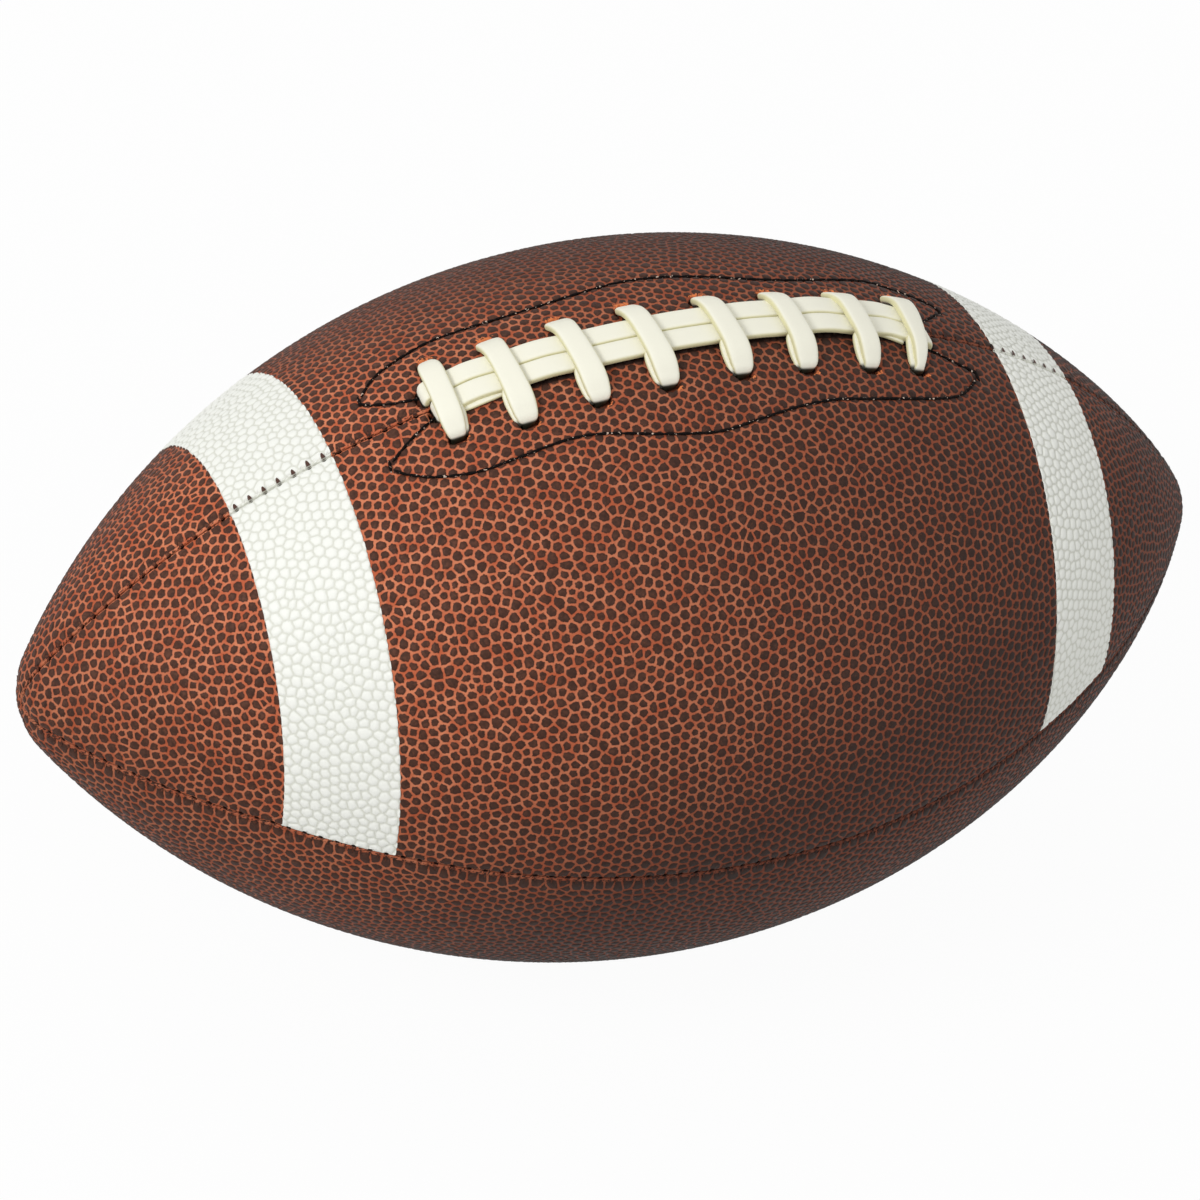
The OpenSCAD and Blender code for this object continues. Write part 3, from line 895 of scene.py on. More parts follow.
def read_points(mesh: bpy.types.Mesh) -> np.ndarray:
    """Vertices of a mesh in rows.

    Args:
        mesh: Mesh to read.

    Returns:
        The vertices.
    """
    points = np.empty(len(mesh.vertices) * 3, np.float32)
    mesh.vertices.foreach_get("co", points)
    return points.reshape(-1, 3).astype(float)


def write_points(mesh: bpy.types.Mesh, points: np.ndarray) -> None:
    """Moves the vertices of a mesh."""
    mesh.vertices.foreach_set("co", points.astype(np.float32).ravel())
    mesh.update()


def settle(piece: bpy.types.Object, finish: Finish) -> bpy.types.Object:
    """Turns a piece with a live node modifier into a plain mesh.

    Args:
        piece: Object with its modifier.
        finish: Finish of the result.

    Returns:
        The same object, with the result as its mesh and no modifier.
    """
    graph = bpy.context.evaluated_depsgraph_get()
    made = bpy.data.meshes.new_from_object(piece.evaluated_get(graph), preserve_all_data_layers=True, depsgraph=graph)
    piece.modifiers.clear()
    old, piece.data = piece.data, made
    made.name = piece.name
    bpy.data.meshes.remove(old)
    if not made.materials:
        made.materials.append(finish.build())
    return piece


def node_group(name: str, inputs: dict[str, tuple[str, float]]) -> tuple[Tree, bpy.types.Node, bpy.types.Node]:
    """Starts a geometry node tree.

    Args:
        name: Name of the tree.
        inputs: Socket type and default value of each named input.

    Returns:
        The helper on the tree, its input node and its output node.
    """
    group = bpy.data.node_groups.new(name, "GeometryNodeTree")
    group.interface.new_socket("Geometry", in_out="INPUT", socket_type="NodeSocketGeometry")
    for label, (kind, value) in inputs.items():
        socket = group.interface.new_socket(label, in_out="INPUT", socket_type=kind)
        if value is not None:
            socket.default_value = value
    group.interface.new_socket("Geometry", in_out="OUTPUT", socket_type="NodeSocketGeometry")
    tree = Tree(group)
    return tree, tree.add("NodeGroupInput"), tree.add("NodeGroupOutput")


def attach(piece: bpy.types.Object, group: bpy.types.NodeTree, values: dict[str, object]) -> None:
    """Adds a node modifier and sets its inputs by identifier.

    Args:
        piece: Object that gets the modifier.
        group: Node tree.
        values: Value of each named input.
    """
    modifier = piece.modifiers.new(group.name, "NODES")
    modifier.node_group = group
    items = [i for i in group.interface.items_tree if i.item_type == "SOCKET" and i.in_out == "INPUT"]
    sockets = {i.name: i.identifier for i in items}
    for label, value in values.items():
        modifier[sockets[label]] = value


class PebbleTree:
    """Geometry nodes that raise one crowned pebble on every cell of a flat network."""

    sizes = ("Shoulder", "Rounding", "Flat", "Height", "Crown")
    slope_share = 0.86
    edge_share = 0.36
    slope_rise = 0.82
    edge_rise = 0.95
    least_kept = 0.35
    merged = 0.004 * MM

    def __init__(self) -> None:
        """Builds the tree."""
        floats = {name: ("NodeSocketFloat", 0.0) for name in self.sizes}
        self.tree, entry, leave = node_group("pebbles", {**floats, "Material": ("NodeSocketMaterial", None)})
        t, given = self.tree, entry.outputs
        capture = t.add("GeometryNodeCaptureAttribute", {"Geometry": given["Geometry"]}, domain="FACE")
        capture.capture_items.new("VECTOR", "Centre")
        capture.capture_items.new("VECTOR", "Normal")
        t.feed(capture.inputs["Centre"], t.add("GeometryNodeInputPosition").outputs[0])
        t.feed(capture.inputs["Normal"], t.add("GeometryNodeInputNormal").outputs[0])
        self.centre, self.normal = capture.outputs["Centre"], capture.outputs["Normal"]
        corner = t.add("GeometryNodeInputNamedAttribute", {"Name": "corner"}, data_type="FLOAT").outputs[0]
        cut = t.math("ADD", 1.0, t.math("MULTIPLY", corner, given["Rounding"]))
        mesh, top = self.grow(capture.outputs["Geometry"], True)
        slope = t.scaled(self.normal, t.math("MULTIPLY", given["Height"], self.slope_share))
        place = t.vector("ADD", self.drawn_in(t.math("MULTIPLY", given["Shoulder"], cut)), slope)
        mesh, top = self.grow(self.move(mesh, top, place, self.slope_rise), top)
        edge = t.scaled(self.normal, t.math("MULTIPLY", given["Height"], self.edge_share))
        place = t.vector("ADD", self.drawn_in(given["Flat"]), edge)
        mesh, top = self.grow(self.move(mesh, top, place, self.edge_rise), top)
        peak = t.scaled(self.normal, t.math("ADD", given["Height"], given["Crown"]))
        mesh = self.move(mesh, top, t.vector("ADD", self.centre, peak), 1.0)
        mesh = t.add("GeometryNodeMergeByDistance", {"Geometry": mesh, "Distance": self.merged}).outputs[0]
        t.close(mesh, given["Material"], leave)

    def grow(self, mesh: bpy.types.NodeSocket, tops: object) -> tuple[bpy.types.NodeSocket, bpy.types.NodeSocket]:
        """Extrudes faces one by one, in place.

        Args:
            mesh: Mesh so far.
            tops: Which faces to extrude.

        Returns:
            The mesh and its new tops.
        """
        inputs = {"Mesh": mesh, "Selection": tops, "Offset Scale": 0.0, "Individual": True}
        node = self.tree.add("GeometryNodeExtrudeMesh", inputs, mode="FACES")
        return node.outputs["Mesh"], node.outputs["Top"]

    def drawn_in(self, inset: object) -> bpy.types.NodeSocket:
        """Place of a vertex after it is drawn towards its cell's centre by a distance.

        Args:
            inset: The distance.

        Returns:
            The output.
        """
        t = self.tree
        arm = t.vector("SUBTRACT", t.add("GeometryNodeInputPosition").outputs[0], self.centre)
        kept = t.math("SUBTRACT", 1.0, t.math("DIVIDE", inset, t.vector("LENGTH", arm, out=1)))
        return t.vector("ADD", self.centre, t.scaled(arm, t.math("MAXIMUM", self.least_kept, kept)))

    def move(self, mesh: bpy.types.NodeSocket, tops: object, place: object, rise: float) -> bpy.types.NodeSocket:
        """Moves the corners of the tops and notes how far up the pebble they are.

        Args:
            mesh: Mesh so far.
            tops: Faces whose corners move.
            place: Where they go.
            rise: Share of the pebble's height, which the finish reads.

        Returns:
            The mesh.
        """
        inputs = {"Geometry": mesh, "Selection": tops, "Position": place}
        moved = self.tree.add("GeometryNodeSetPosition", inputs).outputs[0]
        inputs = {"Geometry": moved, "Selection": tops, "Name": "rise", "Value": rise}
        return self.tree.add("GeometryNodeStoreNamedAttribute", inputs, data_type="FLOAT", domain="POINT").outputs[0]


class StitchTree:
    """Geometry nodes that lay stitches end to end along a path."""

    def __init__(self) -> None:
        """Builds the tree."""
        floats = {name: ("NodeSocketFloat", 0.0) for name in ("Pitch", "Length", "Thickness")}
        self.tree, entry, leave = node_group("stitches", {**floats, "Material": ("NodeSocketMaterial", None)})
        t, given = self.tree, entry.outputs
        curve = t.add("GeometryNodeMeshToCurve", {0: given["Geometry"]}).outputs[0]
        curve = t.add("GeometryNodeResampleCurve", {"Curve": curve, "Length": given["Pitch"]}, mode="LENGTH").outputs[0]
        ball = t.add("GeometryNodeMeshUVSphere", {"Segments": 12, "Rings": 8, "Radius": 0.5}).outputs["Mesh"]
        ball = t.add("GeometryNodeSetShadeSmooth", {0: ball}).outputs[0]
        size = t.add("ShaderNodeCombineXYZ", {0: given["Thickness"], 1: given["Thickness"], 2: given["Length"]})
        stretched = t.add("GeometryNodeTransform", {"Geometry": ball, "Scale": size.outputs[0]}).outputs[0]
        ahead = t.add("GeometryNodeInputTangent").outputs[0]
        turned = t.add("FunctionNodeAlignRotationToVector", {"Vector": ahead}, axis="Z").outputs[0]
        inputs = {"Points": curve, "Instance": stretched, "Rotation": turned}
        t.close(t.add("GeometryNodeInstanceOnPoints", inputs).outputs[0], given["Material"], leave)


@dataclass(frozen=True)
class CellNetwork:
    """Network of cells over one panel's skin."""

    s: np.ndarray
    v: np.ndarray
    corner: np.ndarray
    faces: list
    centres: np.ndarray


@dataclass
class Panel:
    """One leather panel: its pebbles, its rolled edges and its inner face."""

    skin: Skin
    side: Side
    half: Half
    lacing: Lacing
    seams: Seams
    grain: Grain
    pebbles: PebbleTree
    tip_margin: float = 1.0 * MM
    narrowest: float = 0.42
    thickness: float = 2.2 * MM
    lip: float = 5.9 * MM
    lip_top: float = 3 * MM
    lip_gap: float = 0.05 * MM
    lip_share: float = 0.4
    inner_margin: float = 4 * MM
    inner_dark: float = 0.5
    inner_grid: tuple[int, int] = (15, 121)
    dent: float = 0.42 * MM
    dent_reach: float = 0.75 * MM
    # painted shade in the outline's dent
    dent_shade: float = 0.45
    dent_shade_reach: float = 0.5 * MM
    outline_box: tuple[float, float] = (78 * MM, 29 * MM)
    # painted shade beside the top seam of the far lace panel, stronger at the stitches
    top_seam_shade: tuple[float, float] = (0.15, 0.5)
    top_seam_shade_reach: float = 1.3 * MM
    top_beat: float = 0.6
    # painted shadow under the strands
    shadow: float = 0.8
    shadow_fade: tuple[float, float] = (0.9 * MM, 3 * MM)
    shadows: tuple[float, float] = (0.9 * MM, 1.9 * MM)
    hole_size: tuple[float, float] = (2.35 * MM, 1.6 * MM)
    notch_size: tuple[float, float] = (2.0 * MM, 2.6 * MM)
    pit: float = 3.4 * MM
    pit_slope: float = 0.22
    pit_shade: tuple[float, float] = (1.1, 0.2)
    rim_dip: float = 0.35 * MM
    rim_reach: float = 0.35
    tears: tuple[tuple[float, float, float], ...] = ((1.4, 1.0, 1.0), (0, 1.8, 1.9))
    tear_g: float = 0.75 * MM
    tear_lift: float = 0.4 * MM
    valve_v: float = QUARTER / 2
    valve_r: float = 4.9 * MM
    valve_wall: float = 1.8 * MM
    striped: tuple[float, float] = (82 * MM, 108 * MM)

    @property
    def node(self) -> str:
        """Name of the solid that the panel stands for."""
        return f"panel_{self.half.name.lower()}_{self.side.name.lower()}"

    @property
    def outward(self) -> bool:
        """Whether s and v, taken in that order, turn the way that points outwards."""
        return self.side.value * self.half.value > 0

    @property
    def end(self) -> float:
        """Distance over the skin from mid-length to the end of the pebbled part."""
        return self.skin.arc - self.tip_margin

    def turn(self, v: np.ndarray) -> np.ndarray:
        """Turn from the top seam, for a turn v from the panel's own middle seam."""
        return self.side.value * (v if self.half is Half.LACE else math.pi - v)

    def limits(self, s: np.ndarray) -> tuple[np.ndarray, np.ndarray]:
        """Lowest and highest v of the pebbled part."""
        low = np.minimum(self.seams.margin / self.skin.radius(s), QUARTER * self.narrowest)
        return low, QUARTER - low

    def seed_points(self) -> np.ndarray:
        """Rows of scattered points over the pebbled part, as s and v.

        Returns:
            The points.
        """
        rng = np.random.default_rng(self.grain.seed + 3 * self.side.value + self.half.value)
        grain = self.grain
        rows = np.arange(-self.end + grain.row_inset * grain.pitch, self.end, grain.pitch * grain.row_share)
        points = []
        for k, s in enumerate(rows):
            low, high = self.limits(s)
            room = float(self.skin.radius(s) * (high - low))
            count = max(1, round(room / grain.pitch))
            places = (np.arange(count) + grain.offsets[k % 2]) / count
            scatter = rng.uniform(-1, 1, (count, 2)) * grain.jitter
            least = grain.edge_inset / count
            v = low + (high - low) * np.clip(places + scatter[:, 0] / count, least, 1 - least)
            points.append(np.stack([s + scatter[:, 1] * grain.pitch, v], -1))
        return np.vstack(points)

    def with_mirrored(self, flat: np.ndarray) -> np.ndarray:
        """Points of the even-angled map followed by mirror images across the panel's edges.

        Args:
            flat: Points of the even-angled map.

        Returns:
            The points, the given ones first.
        """
        u, v = flat.T
        s = self.skin.uneven(u)
        low, high = self.limits(s)
        near = self.grain.mirror_rows * self.grain.pitch / np.maximum(self.skin.radius(s), 1 * MM)
        end = float(self.skin.even(self.end))
        parts = [flat]
        for edge, mask in ((low, v - low < near), (high, high - v < near)):
            parts.append(np.stack([u, 2 * edge - v], -1)[mask])
        around = np.vstack(parts)
        for edge in (-end, end):
            mask = np.abs(around[:, 0] - edge) < self.grain.mirror_end
            parts.append((around * (-1, 1) + (2 * edge, 0))[mask])
        return np.vstack(parts)

    def triangles(self, flat: np.ndarray) -> tuple[np.ndarray, np.ndarray]:
        """Triangulates points and their mirror images.

        Args:
            flat: Points of the even-angled map.

        Returns:
            All points, and triangles as rows of point numbers.
        """
        given = self.with_mirrored(flat)
        made = delaunay_2d_cdt([Vector(p) for p in given.tolist()], [], [], 0, 1e-9)
        source = np.array([o[0] for o in made[3]])
        return given, source[np.array(made[2])]

    def relaxed(self) -> np.ndarray:
        """Seed points on the even-angled map, evened out.

        Returns:
            The points.
        """
        seeds = self.seed_points()
        flat = np.stack([self.skin.even(seeds[:, 0]), seeds[:, 1]], -1)
        stay, move = self.grain.relax
        for _ in range(self.grain.relaxing):
            given, tri = self.triangles(flat)
            total, count = np.zeros((len(given), 2)), np.zeros(len(given))
            for a, b in ((0, 1), (1, 2), (2, 0)):
                for i, j in ((a, b), (b, a)):
                    np.add.at(total, tri[:, i], given[tri[:, j]])
                    np.add.at(count, tri[:, i], 1)
            size = len(flat)
            flat = stay * flat + move * total[:size] / np.maximum(count[:size], 1)[:, None]
        return flat

    def network(self) -> CellNetwork:
        """Cells round the evened points, each side split at its middle.

        Returns:
            The network.
        """
        flat = self.relaxed()
        given, tri = self.triangles(flat)
        a, b, c = given[tri[:, 0]], given[tri[:, 1]], given[tri[:, 2]]
        ab, ac = b - a, c - a
        cross = 2 * (ab[:, 0] * ac[:, 1] - ab[:, 1] * ac[:, 0])
        cross[np.abs(cross) < self.grain.least] = self.grain.least
        ab2, ac2 = (ab**2).sum(1), (ac**2).sum(1)
        centre = a + np.stack([ac[:, 1] * ab2 - ab[:, 1] * ac2, ab[:, 0] * ac2 - ac[:, 0] * ab2], -1) / cross[:, None]
        owner, face = tri.ravel(), np.repeat(np.arange(len(tri)), 3)
        kept = owner < len(flat)
        owner, face = owner[kept], face[kept]
        arm = centre[face] - given[owner]
        order = np.lexsort((np.arctan2(arm[:, 1], arm[:, 0]), owner))
        owner, face = owner[order], face[order]
        first = np.flatnonzero(np.r_[True, owner[1:] != owner[:-1]])
        last = np.r_[first[1:], len(owner)]
        following = np.arange(len(owner)) + 1
        following[last - 1] = first
        pair = np.sort(np.stack([face, face[following]], -1), 1)
        sides, side_of = np.unique(pair, axis=0, return_inverse=True)
        used, corner_of = np.unique(face, return_inverse=True)
        place = np.vstack([centre[used], (centre[sides[:, 0]] + centre[sides[:, 1]]) / 2])
        loop = np.stack([corner_of, len(used) + side_of.ravel()], -1)
        faces = [loop[i:j].ravel().tolist() for i, j in zip(first, last) if j - i > 2]
        end = float(self.skin.even(self.end))
        s = self.skin.uneven(np.clip(place[:, 0], -end, end))
        low, high = self.limits(s)
        corner = np.r_[np.ones(len(used)), np.zeros(len(sides))]
        centres = np.stack([self.skin.uneven(flat[:, 0]), flat[:, 1]], -1)
        return CellNetwork(s, self.drawn(s, np.clip(place[:, 1], low, high)), corner, faces, centres)

    def drawn(self, s: np.ndarray, v: np.ndarray) -> np.ndarray:
        """Turns after the side seam has drawn out the pebbles of a base panel beside it.

        Args:
            s: Distance along the skin from mid-length.
            v: Turn from the panel's middle seam.

        Returns:
            The changed turns.
        """
        if self.half is Half.LACE:
            return v
        seams, r = self.seams, self.skin.radius(s)
        gap = np.maximum((QUARTER - v) * r - seams.margin, 0)
        stretched = gap * (1 + seams.drawn * np.exp(-((gap / seams.drawn_reach) ** 2))) + seams.margin
        low, high = self.limits(s)
        return np.clip(QUARTER - stretched / r, low, high)

    def relief(self, s: np.ndarray, v: np.ndarray) -> tuple[np.ndarray, np.ndarray, np.ndarray]:
        """Height, painted shade and tears that seams, stitches and lace holes give the leather.

        Args:
            s: Distance along the skin.
            v: Turn from the panel's middle seam.

        Returns:
            Height to add, depth of painted shade from 0 at the skin to 1 in a hole, and how torn the hide's face is.
        """
        seams, r = self.seams, self.skin.radius(s)
        height, depth, torn = np.zeros_like(s), np.zeros_like(s), np.zeros_like(s)
        for gap in (r * v, r * (QUARTER - v)):
            height -= seams.sink * np.exp(-gap / seams.reach)
            height -= seams.pucker * (2 * seams.hole(s) - seams.pucker_even) * np.exp(-gap / seams.pucker_reach)
        if self.half is Half.LACE:
            self.stitched(s, r * v, height, depth)
            self.punched(s, r * v, height, depth)
            self.tear(s, r * v, height, depth, torn)
        return height, np.clip(depth, 0, 1), np.clip(torn, 0, 1)

    def stitched(self, s: np.ndarray, g: np.ndarray, height: np.ndarray, depth: np.ndarray) -> None:
        """Dents the stitched outline into a lace panel, and paints shade into the dent, beside the seam and under the
        strands.

        Args:
            s: Distance along the skin.
            g: Distance over the skin from the top seam.
            height: Height to change.
            depth: Painted shade to change.
        """
        off = self.off_outline(s, g)
        height -= self.dent * np.exp(-((off / self.dent_reach) ** 2))
        depth += self.dent_shade * np.exp(-((off / self.dent_shade_reach) ** 2))
        if self.side is Side.FAR:
            even, beat = self.top_seam_shade
            depth += (even + beat * self.seams.hole(s * self.top_beat)) * np.exp(-((g / self.top_seam_shade_reach) ** 2))
        drift = self.lacing.bays(s)[1] * self.side.value
        under = self.lacing.run_g + self.lacing.width / 2 + drift + self.side.pick(*self.shadows)
        side_fade, end_fade = self.shadow_fade
        ends = smooth(self.lacing.notch_s - np.abs(s), 0, end_fade)
        depth += self.shadow * smooth(under - g, 0, side_fade) * ends

    def punched(self, s: np.ndarray, g: np.ndarray, height: np.ndarray, depth: np.ndarray) -> None:
        """Sinks every lace hole and each notch of the slit, and paints shade into them.

        Args:
            s: Distance along the skin.
            g: Distance over the skin from the top seam.
            height: Height to change.
            depth: Painted shade to change.
        """
        lacing = self.lacing
        holes = [(lacing.hole(k, self.side), self.hole_size) for k in range(lacing.crossings)]
        holes += [(lacing.notch(end, self.side), self.notch_size) for end in End]
        for at, size in holes:
            away = np.hypot((s - at[0]) / size[0], (g - abs(at[1])) / size[1])
            height -= self.rim_dip * np.exp(-((np.maximum(away - 1, 0) / self.rim_reach) ** 2))
            inside = away < 1
            height[inside] -= self.pit * smooth(1 - away[inside], 0, self.pit_slope)
            # painted shade inside the hole
            edge, fade = self.pit_shade
            np.maximum(depth, smooth(edge - away, 0, fade), out=depth)

    def tear(self, s: np.ndarray, g: np.ndarray, height: np.ndarray, depth: np.ndarray, torn: np.ndarray) -> None:
        """Tears the hide's face beside every lace hole, and lifts it.

        Args:
            s: Distance along the skin.
            g: Distance over the skin from the top seam.
            height: Height to change.
            depth: Painted shade to change.
            torn: Tears to change.
        """
        aside, past, half = (size * MM for size in self.side.pick(*self.tears))
        for k in range(self.lacing.crossings):
            at = self.lacing.hole(k, self.side)
            off = ((s - at[0] - aside) / half) ** 4 + ((g - abs(at[1]) - past) / self.tear_g) ** 2
            torn += np.exp(-off)
        height += self.tear_lift * torn
        depth *= 1 - np.clip(torn, 0, 1)

    def off_outline(self, s: np.ndarray, g: np.ndarray) -> np.ndarray:
        """Distance of each point from the stitched outline.

        Args:
            s: Distance along the skin from mid-length.
            g: Distance over the skin from the top seam.

        Returns:
            The distances, or 1 m where the outline is far off.
        """
        line = self.lacing.outline(self.side)
        best = np.full(s.shape, 1.0)
        near = (np.abs(s) < self.outline_box[0]) & (g < self.outline_box[1])
        p = np.stack([s[near], g[near]], -1)
        least = np.full(len(p), 1.0)
        for a, b in zip(line[:-1], line[1:]):
            leg = b - a
            t = np.clip((p - a) @ leg / (leg @ leg), 0, 1)
            least = np.minimum(least, np.linalg.norm(p - a - t[:, None] * leg, axis=1))
        best[near] = least
        return best

    def pebbled(self) -> bpy.types.Object:
        """Pebbled face of the panel, before it is cut into pieces.

        Returns:
            The face as one mesh.
        """
        net = self.network()
        faces = net.faces if self.outward else [f[::-1] for f in net.faces]
        piece = new_piece(self.node + "_face", self.skin.place(net.s, self.turn(net.v)), faces, LEATHER)
        store(piece.data, "corner", net.corner)
        store(piece.data, "rise", np.zeros(len(net.s)))
        rng = np.random.default_rng(self.grain.seed)
        store(piece.data, "tint", rng.uniform(0, 1, len(faces)), "FACE")
        store(piece.data, "right", net.centres[:, 0] > 0, "FACE")
        g = self.grain
        values = {"Shoulder": g.shoulder, "Rounding": g.rounding, "Flat": g.flat, "Height": g.height}
        attach(piece, self.pebbles.tree.tree, {**values, "Crown": g.crown, "Material": LEATHER.build()})
        settle(piece, LEATHER)
        points = read_points(piece.data)
        s, f, h = self.skin.locate(points)
        v = np.abs(f) if self.half is Half.LACE else math.pi - np.abs(f)
        lift, depth, torn = self.relief(s, v)
        write_points(piece.data, self.skin.place(s, f, h - g.depth + lift))
        store(piece.data, "depth", depth)
        store(piece.data, "torn", torn)
        if self.half is Half.BASE and self.side is Side.FAR:
            self.pierce(piece.data)
        return piece

    def pierce(self, data: bpy.types.Mesh) -> None:
        """Opens the round way of the valve, and turns its edge down beside the boss.

        Args:
            data: Mesh of the panel's face.
        """
        mesh = bmesh.new()
        mesh.from_mesh(data)
        s, f, h = self.skin.locate(read_points(data))
        r = self.skin.radius(s)
        g = (f - self.turn(self.valve_v)) * r
        away = np.hypot(s, g)
        inside = {vert for vert in mesh.verts if away[vert.index] < self.valve_r}
        open_faces = [face for face in mesh.faces if inside.issuperset(face.verts)]
        grow = np.where(away < self.valve_r, self.valve_r / np.maximum(away, 1e-6), 1)
        places = self.skin.place(s * grow, self.turn(self.valve_v) + g * grow / r, h)
        for vert in inside:
            vert.co = places[vert.index]
        bmesh.ops.delete(mesh, geom=open_faces, context="FACES")
        rim = [edge for edge in mesh.edges if edge.is_boundary and inside.issuperset(edge.verts)]
        wall = bmesh.ops.extrude_edge_only(mesh, edges=rim)["geom"]
        lowered = [v for v in wall if isinstance(v, bmesh.types.BMVert)]
        s, f, h = self.skin.locate(np.array([v.co for v in lowered]))
        for vert, place in zip(lowered, self.skin.place(s, f, h - self.valve_wall).tolist()):
            vert.co = place
        mesh.to_mesh(data)
        mesh.free()

    def flipped(self, edge: Edge) -> bool:
        """Whether rows that lead away from an edge have to be turned round to face outwards."""
        return self.outward is (edge is Edge.MIDDLE)

    def from_edge(self, edge: Edge, v: np.ndarray) -> np.ndarray:
        """Turn from the panel's middle seam, for a turn from one of its edges."""
        return v if edge is Edge.MIDDLE else QUARTER - v

    def notch_len(self, edge: Edge) -> float:
        """How far the dark notch at a stitch reaches from the seam: most on the edge that lies lower.

        Args:
            edge: Edge of the panel.

        Returns:
            The reach.
        """
        hidden, lower = self.half is Half.BASE, self.side is Side.FAR
        if edge is Edge.SIDE:
            hidden, lower = lower, hidden
        if hidden:
            return self.seams.notch_even
        return self.seams.notch_long if lower else self.seams.notch_short

    def notches(self, edge: Edge) -> tuple[np.ndarray, list, np.ndarray]:
        """Dark notches of painted shade in the gaps that the stitches pull into one edge.

        Args:
            edge: Edge of the panel.

        Returns:
            Points, faces turned outwards, and painted shade.
        """
        seams = self.seams
        fine = self.half is Half.BASE and edge is Edge.SIDE
        pitch, wide = (seams.pitch / 2, seams.finger_w) if fine else (seams.pitch, seams.notch_w)
        count = int((self.skin.arc - seams.notch_tip) / pitch)
        shape = np.array([(0, 0, 1), *seams.notch_shape])
        rng = np.random.default_rng(self.grain.seed + edge.value)
        points, faces, dark = [], [], []
        for k in range(-count, count + 1):
            laced = self.half is Half.LACE and abs(k * pitch) < self.lacing.notch_s + self.shadow_fade[1]
            if laced and edge is Edge.MIDDLE:
                continue
            reach = self.notch_len(edge) * rng.uniform(*seams.notch_spread)
            s = k * pitch + shape[:, 0] * wide / 2 + rng.uniform(-1, 1) * seams.notch_stray
            gap = seams.notch_gap + shape[:, 1] * reach
            height = seams.notch_lift - seams.sink * np.exp(-gap / seams.reach)
            start = len(points) * len(shape)
            points.append(self.skin.place(s, self.turn(self.from_edge(edge, gap / self.skin.radius(s))), height))
            fan = [[start, start + i, start + i + 1] for i in range(1, len(shape) - 1)]
            faces += [[a, c, b] if self.flipped(edge) else [a, b, c] for a, b, c in fan]
            on_stripe = self.half is Half.LACE and self.striped[0] < abs(s[0]) < self.striped[1]
            # painted shade of the notch, fainter off the stripes
            dark.append(shape[:, 2] * (1 if on_stripe else seams.dulled))
        return np.vstack(points), faces, np.concatenate(dark)

    def edges(self) -> bpy.types.Object:
        """Rolled edges along both seams with their notches, as one mesh.

        Returns:
            The mesh.
        """
        points, faces, depth, start = [], [], [], 0
        for edge in Edge:
            place, dark = self.edge_sheet(edge)
            faces += grid_quads(*dark.shape, start, self.flipped(edge)).tolist()
            points.append(place.reshape(-1, 3))
            depth.append(dark.ravel())
            start += dark.size
        rise = [np.random.default_rng(self.grain.seed).choice(self.seams.edge_rises, start)]
        for edge in Edge:
            places, fans, dark = self.notches(edge)
            faces += [[start + i for i in fan] for fan in fans]
            points.append(places)
            depth.append(dark)
            rise.append(np.full(len(places), self.seams.notch_rise))
            start += len(places)
        points = np.vstack(points)
        piece = new_piece(self.node + "_edge", points, faces, LEATHER)
        store(piece.data, "depth", np.concatenate(depth))
        store(piece.data, "rise", np.concatenate(rise))
        store(piece.data, "tint", np.zeros(len(faces)), "FACE")
        store(piece.data, "right", [np.mean(points[face, 0]) > 0 for face in faces], "FACE")
        return piece

    def edge_sheet(self, edge: Edge) -> tuple[np.ndarray, np.ndarray]:
        """Grid of one rolled edge.

        Args:
            edge: Edge of the panel.

        Returns:
            Points and painted shade, in rows away from the skin.
        """
        seams = self.seams
        count = int(self.skin.arc / seams.pitch)
        stops = np.arange(-count, count + 1)[:, None] + np.array(seams.columns)
        s = stops.ravel() * seams.pitch
        s = s[np.abs(s) < self.skin.arc - seams.tip_gap]
        r, draw = self.skin.radius(s), seams.hole(s)
        places, darks = [], []
        for gap, low, dark in seams.edge_rows:
            gap, low = gap * MM, low * MM
            share = np.clip((seams.roll_from - gap) / seams.roll_w, 0, 1)
            away = np.minimum(gap + seams.hole_w * draw * share, seams.widest * r * QUARTER / 2)
            v = self.from_edge(edge, away / r)
            sunk = (seams.hole_sag * draw + seams.sink) * share
            height = low - sunk + self.relief(s, v)[0] * (1 - share)
            places.append(self.skin.place(s, self.turn(v), height))
            # painted shade down in the seam's crevice and at the stitch holes
            darks.append(np.clip(dark + seams.hole_shade * draw * share, 0, 1))
        return np.array(places), np.array(darks)

    def inner(self) -> bpy.types.Object:
        """Plain inner face and turned-in lips of the panel.

        Returns:
            The mesh.
        """
        across, along = self.inner_grid
        s = np.linspace(-1, 1, along) * (self.skin.arc - self.inner_margin)
        r = self.skin.radius(s)
        gap_v, lip_v = self.lip_gap / r, np.minimum(self.thickness / r, QUARTER * self.lip_share)
        rows = [(gap_v, -self.lip_top), (gap_v, -self.lip), (lip_v, -self.lip), (lip_v, -self.thickness)]
        shares = np.linspace(0, 1, across)[1:-1]
        middle = [(lip_v + (QUARTER - 2 * lip_v) * t, -self.thickness) for t in shares]
        rows = rows + middle + [(QUARTER - v, h) for v, h in rows[::-1]]
        place = np.array([self.skin.place(s, self.turn(v), np.full_like(s, h)) for v, h in rows])
        faces = grid_quads(*place.shape[:2], flipped=self.outward).tolist()
        piece = new_piece(self.node + "_inner", place.reshape(-1, 3), faces, LEATHER)
        count = len(piece.data.vertices)
        store(piece.data, "depth", np.full(count, self.inner_dark))
        store(piece.data, "rise", np.zeros(count))
        store(piece.data, "tint", np.zeros(len(faces)), "FACE")
        return piece


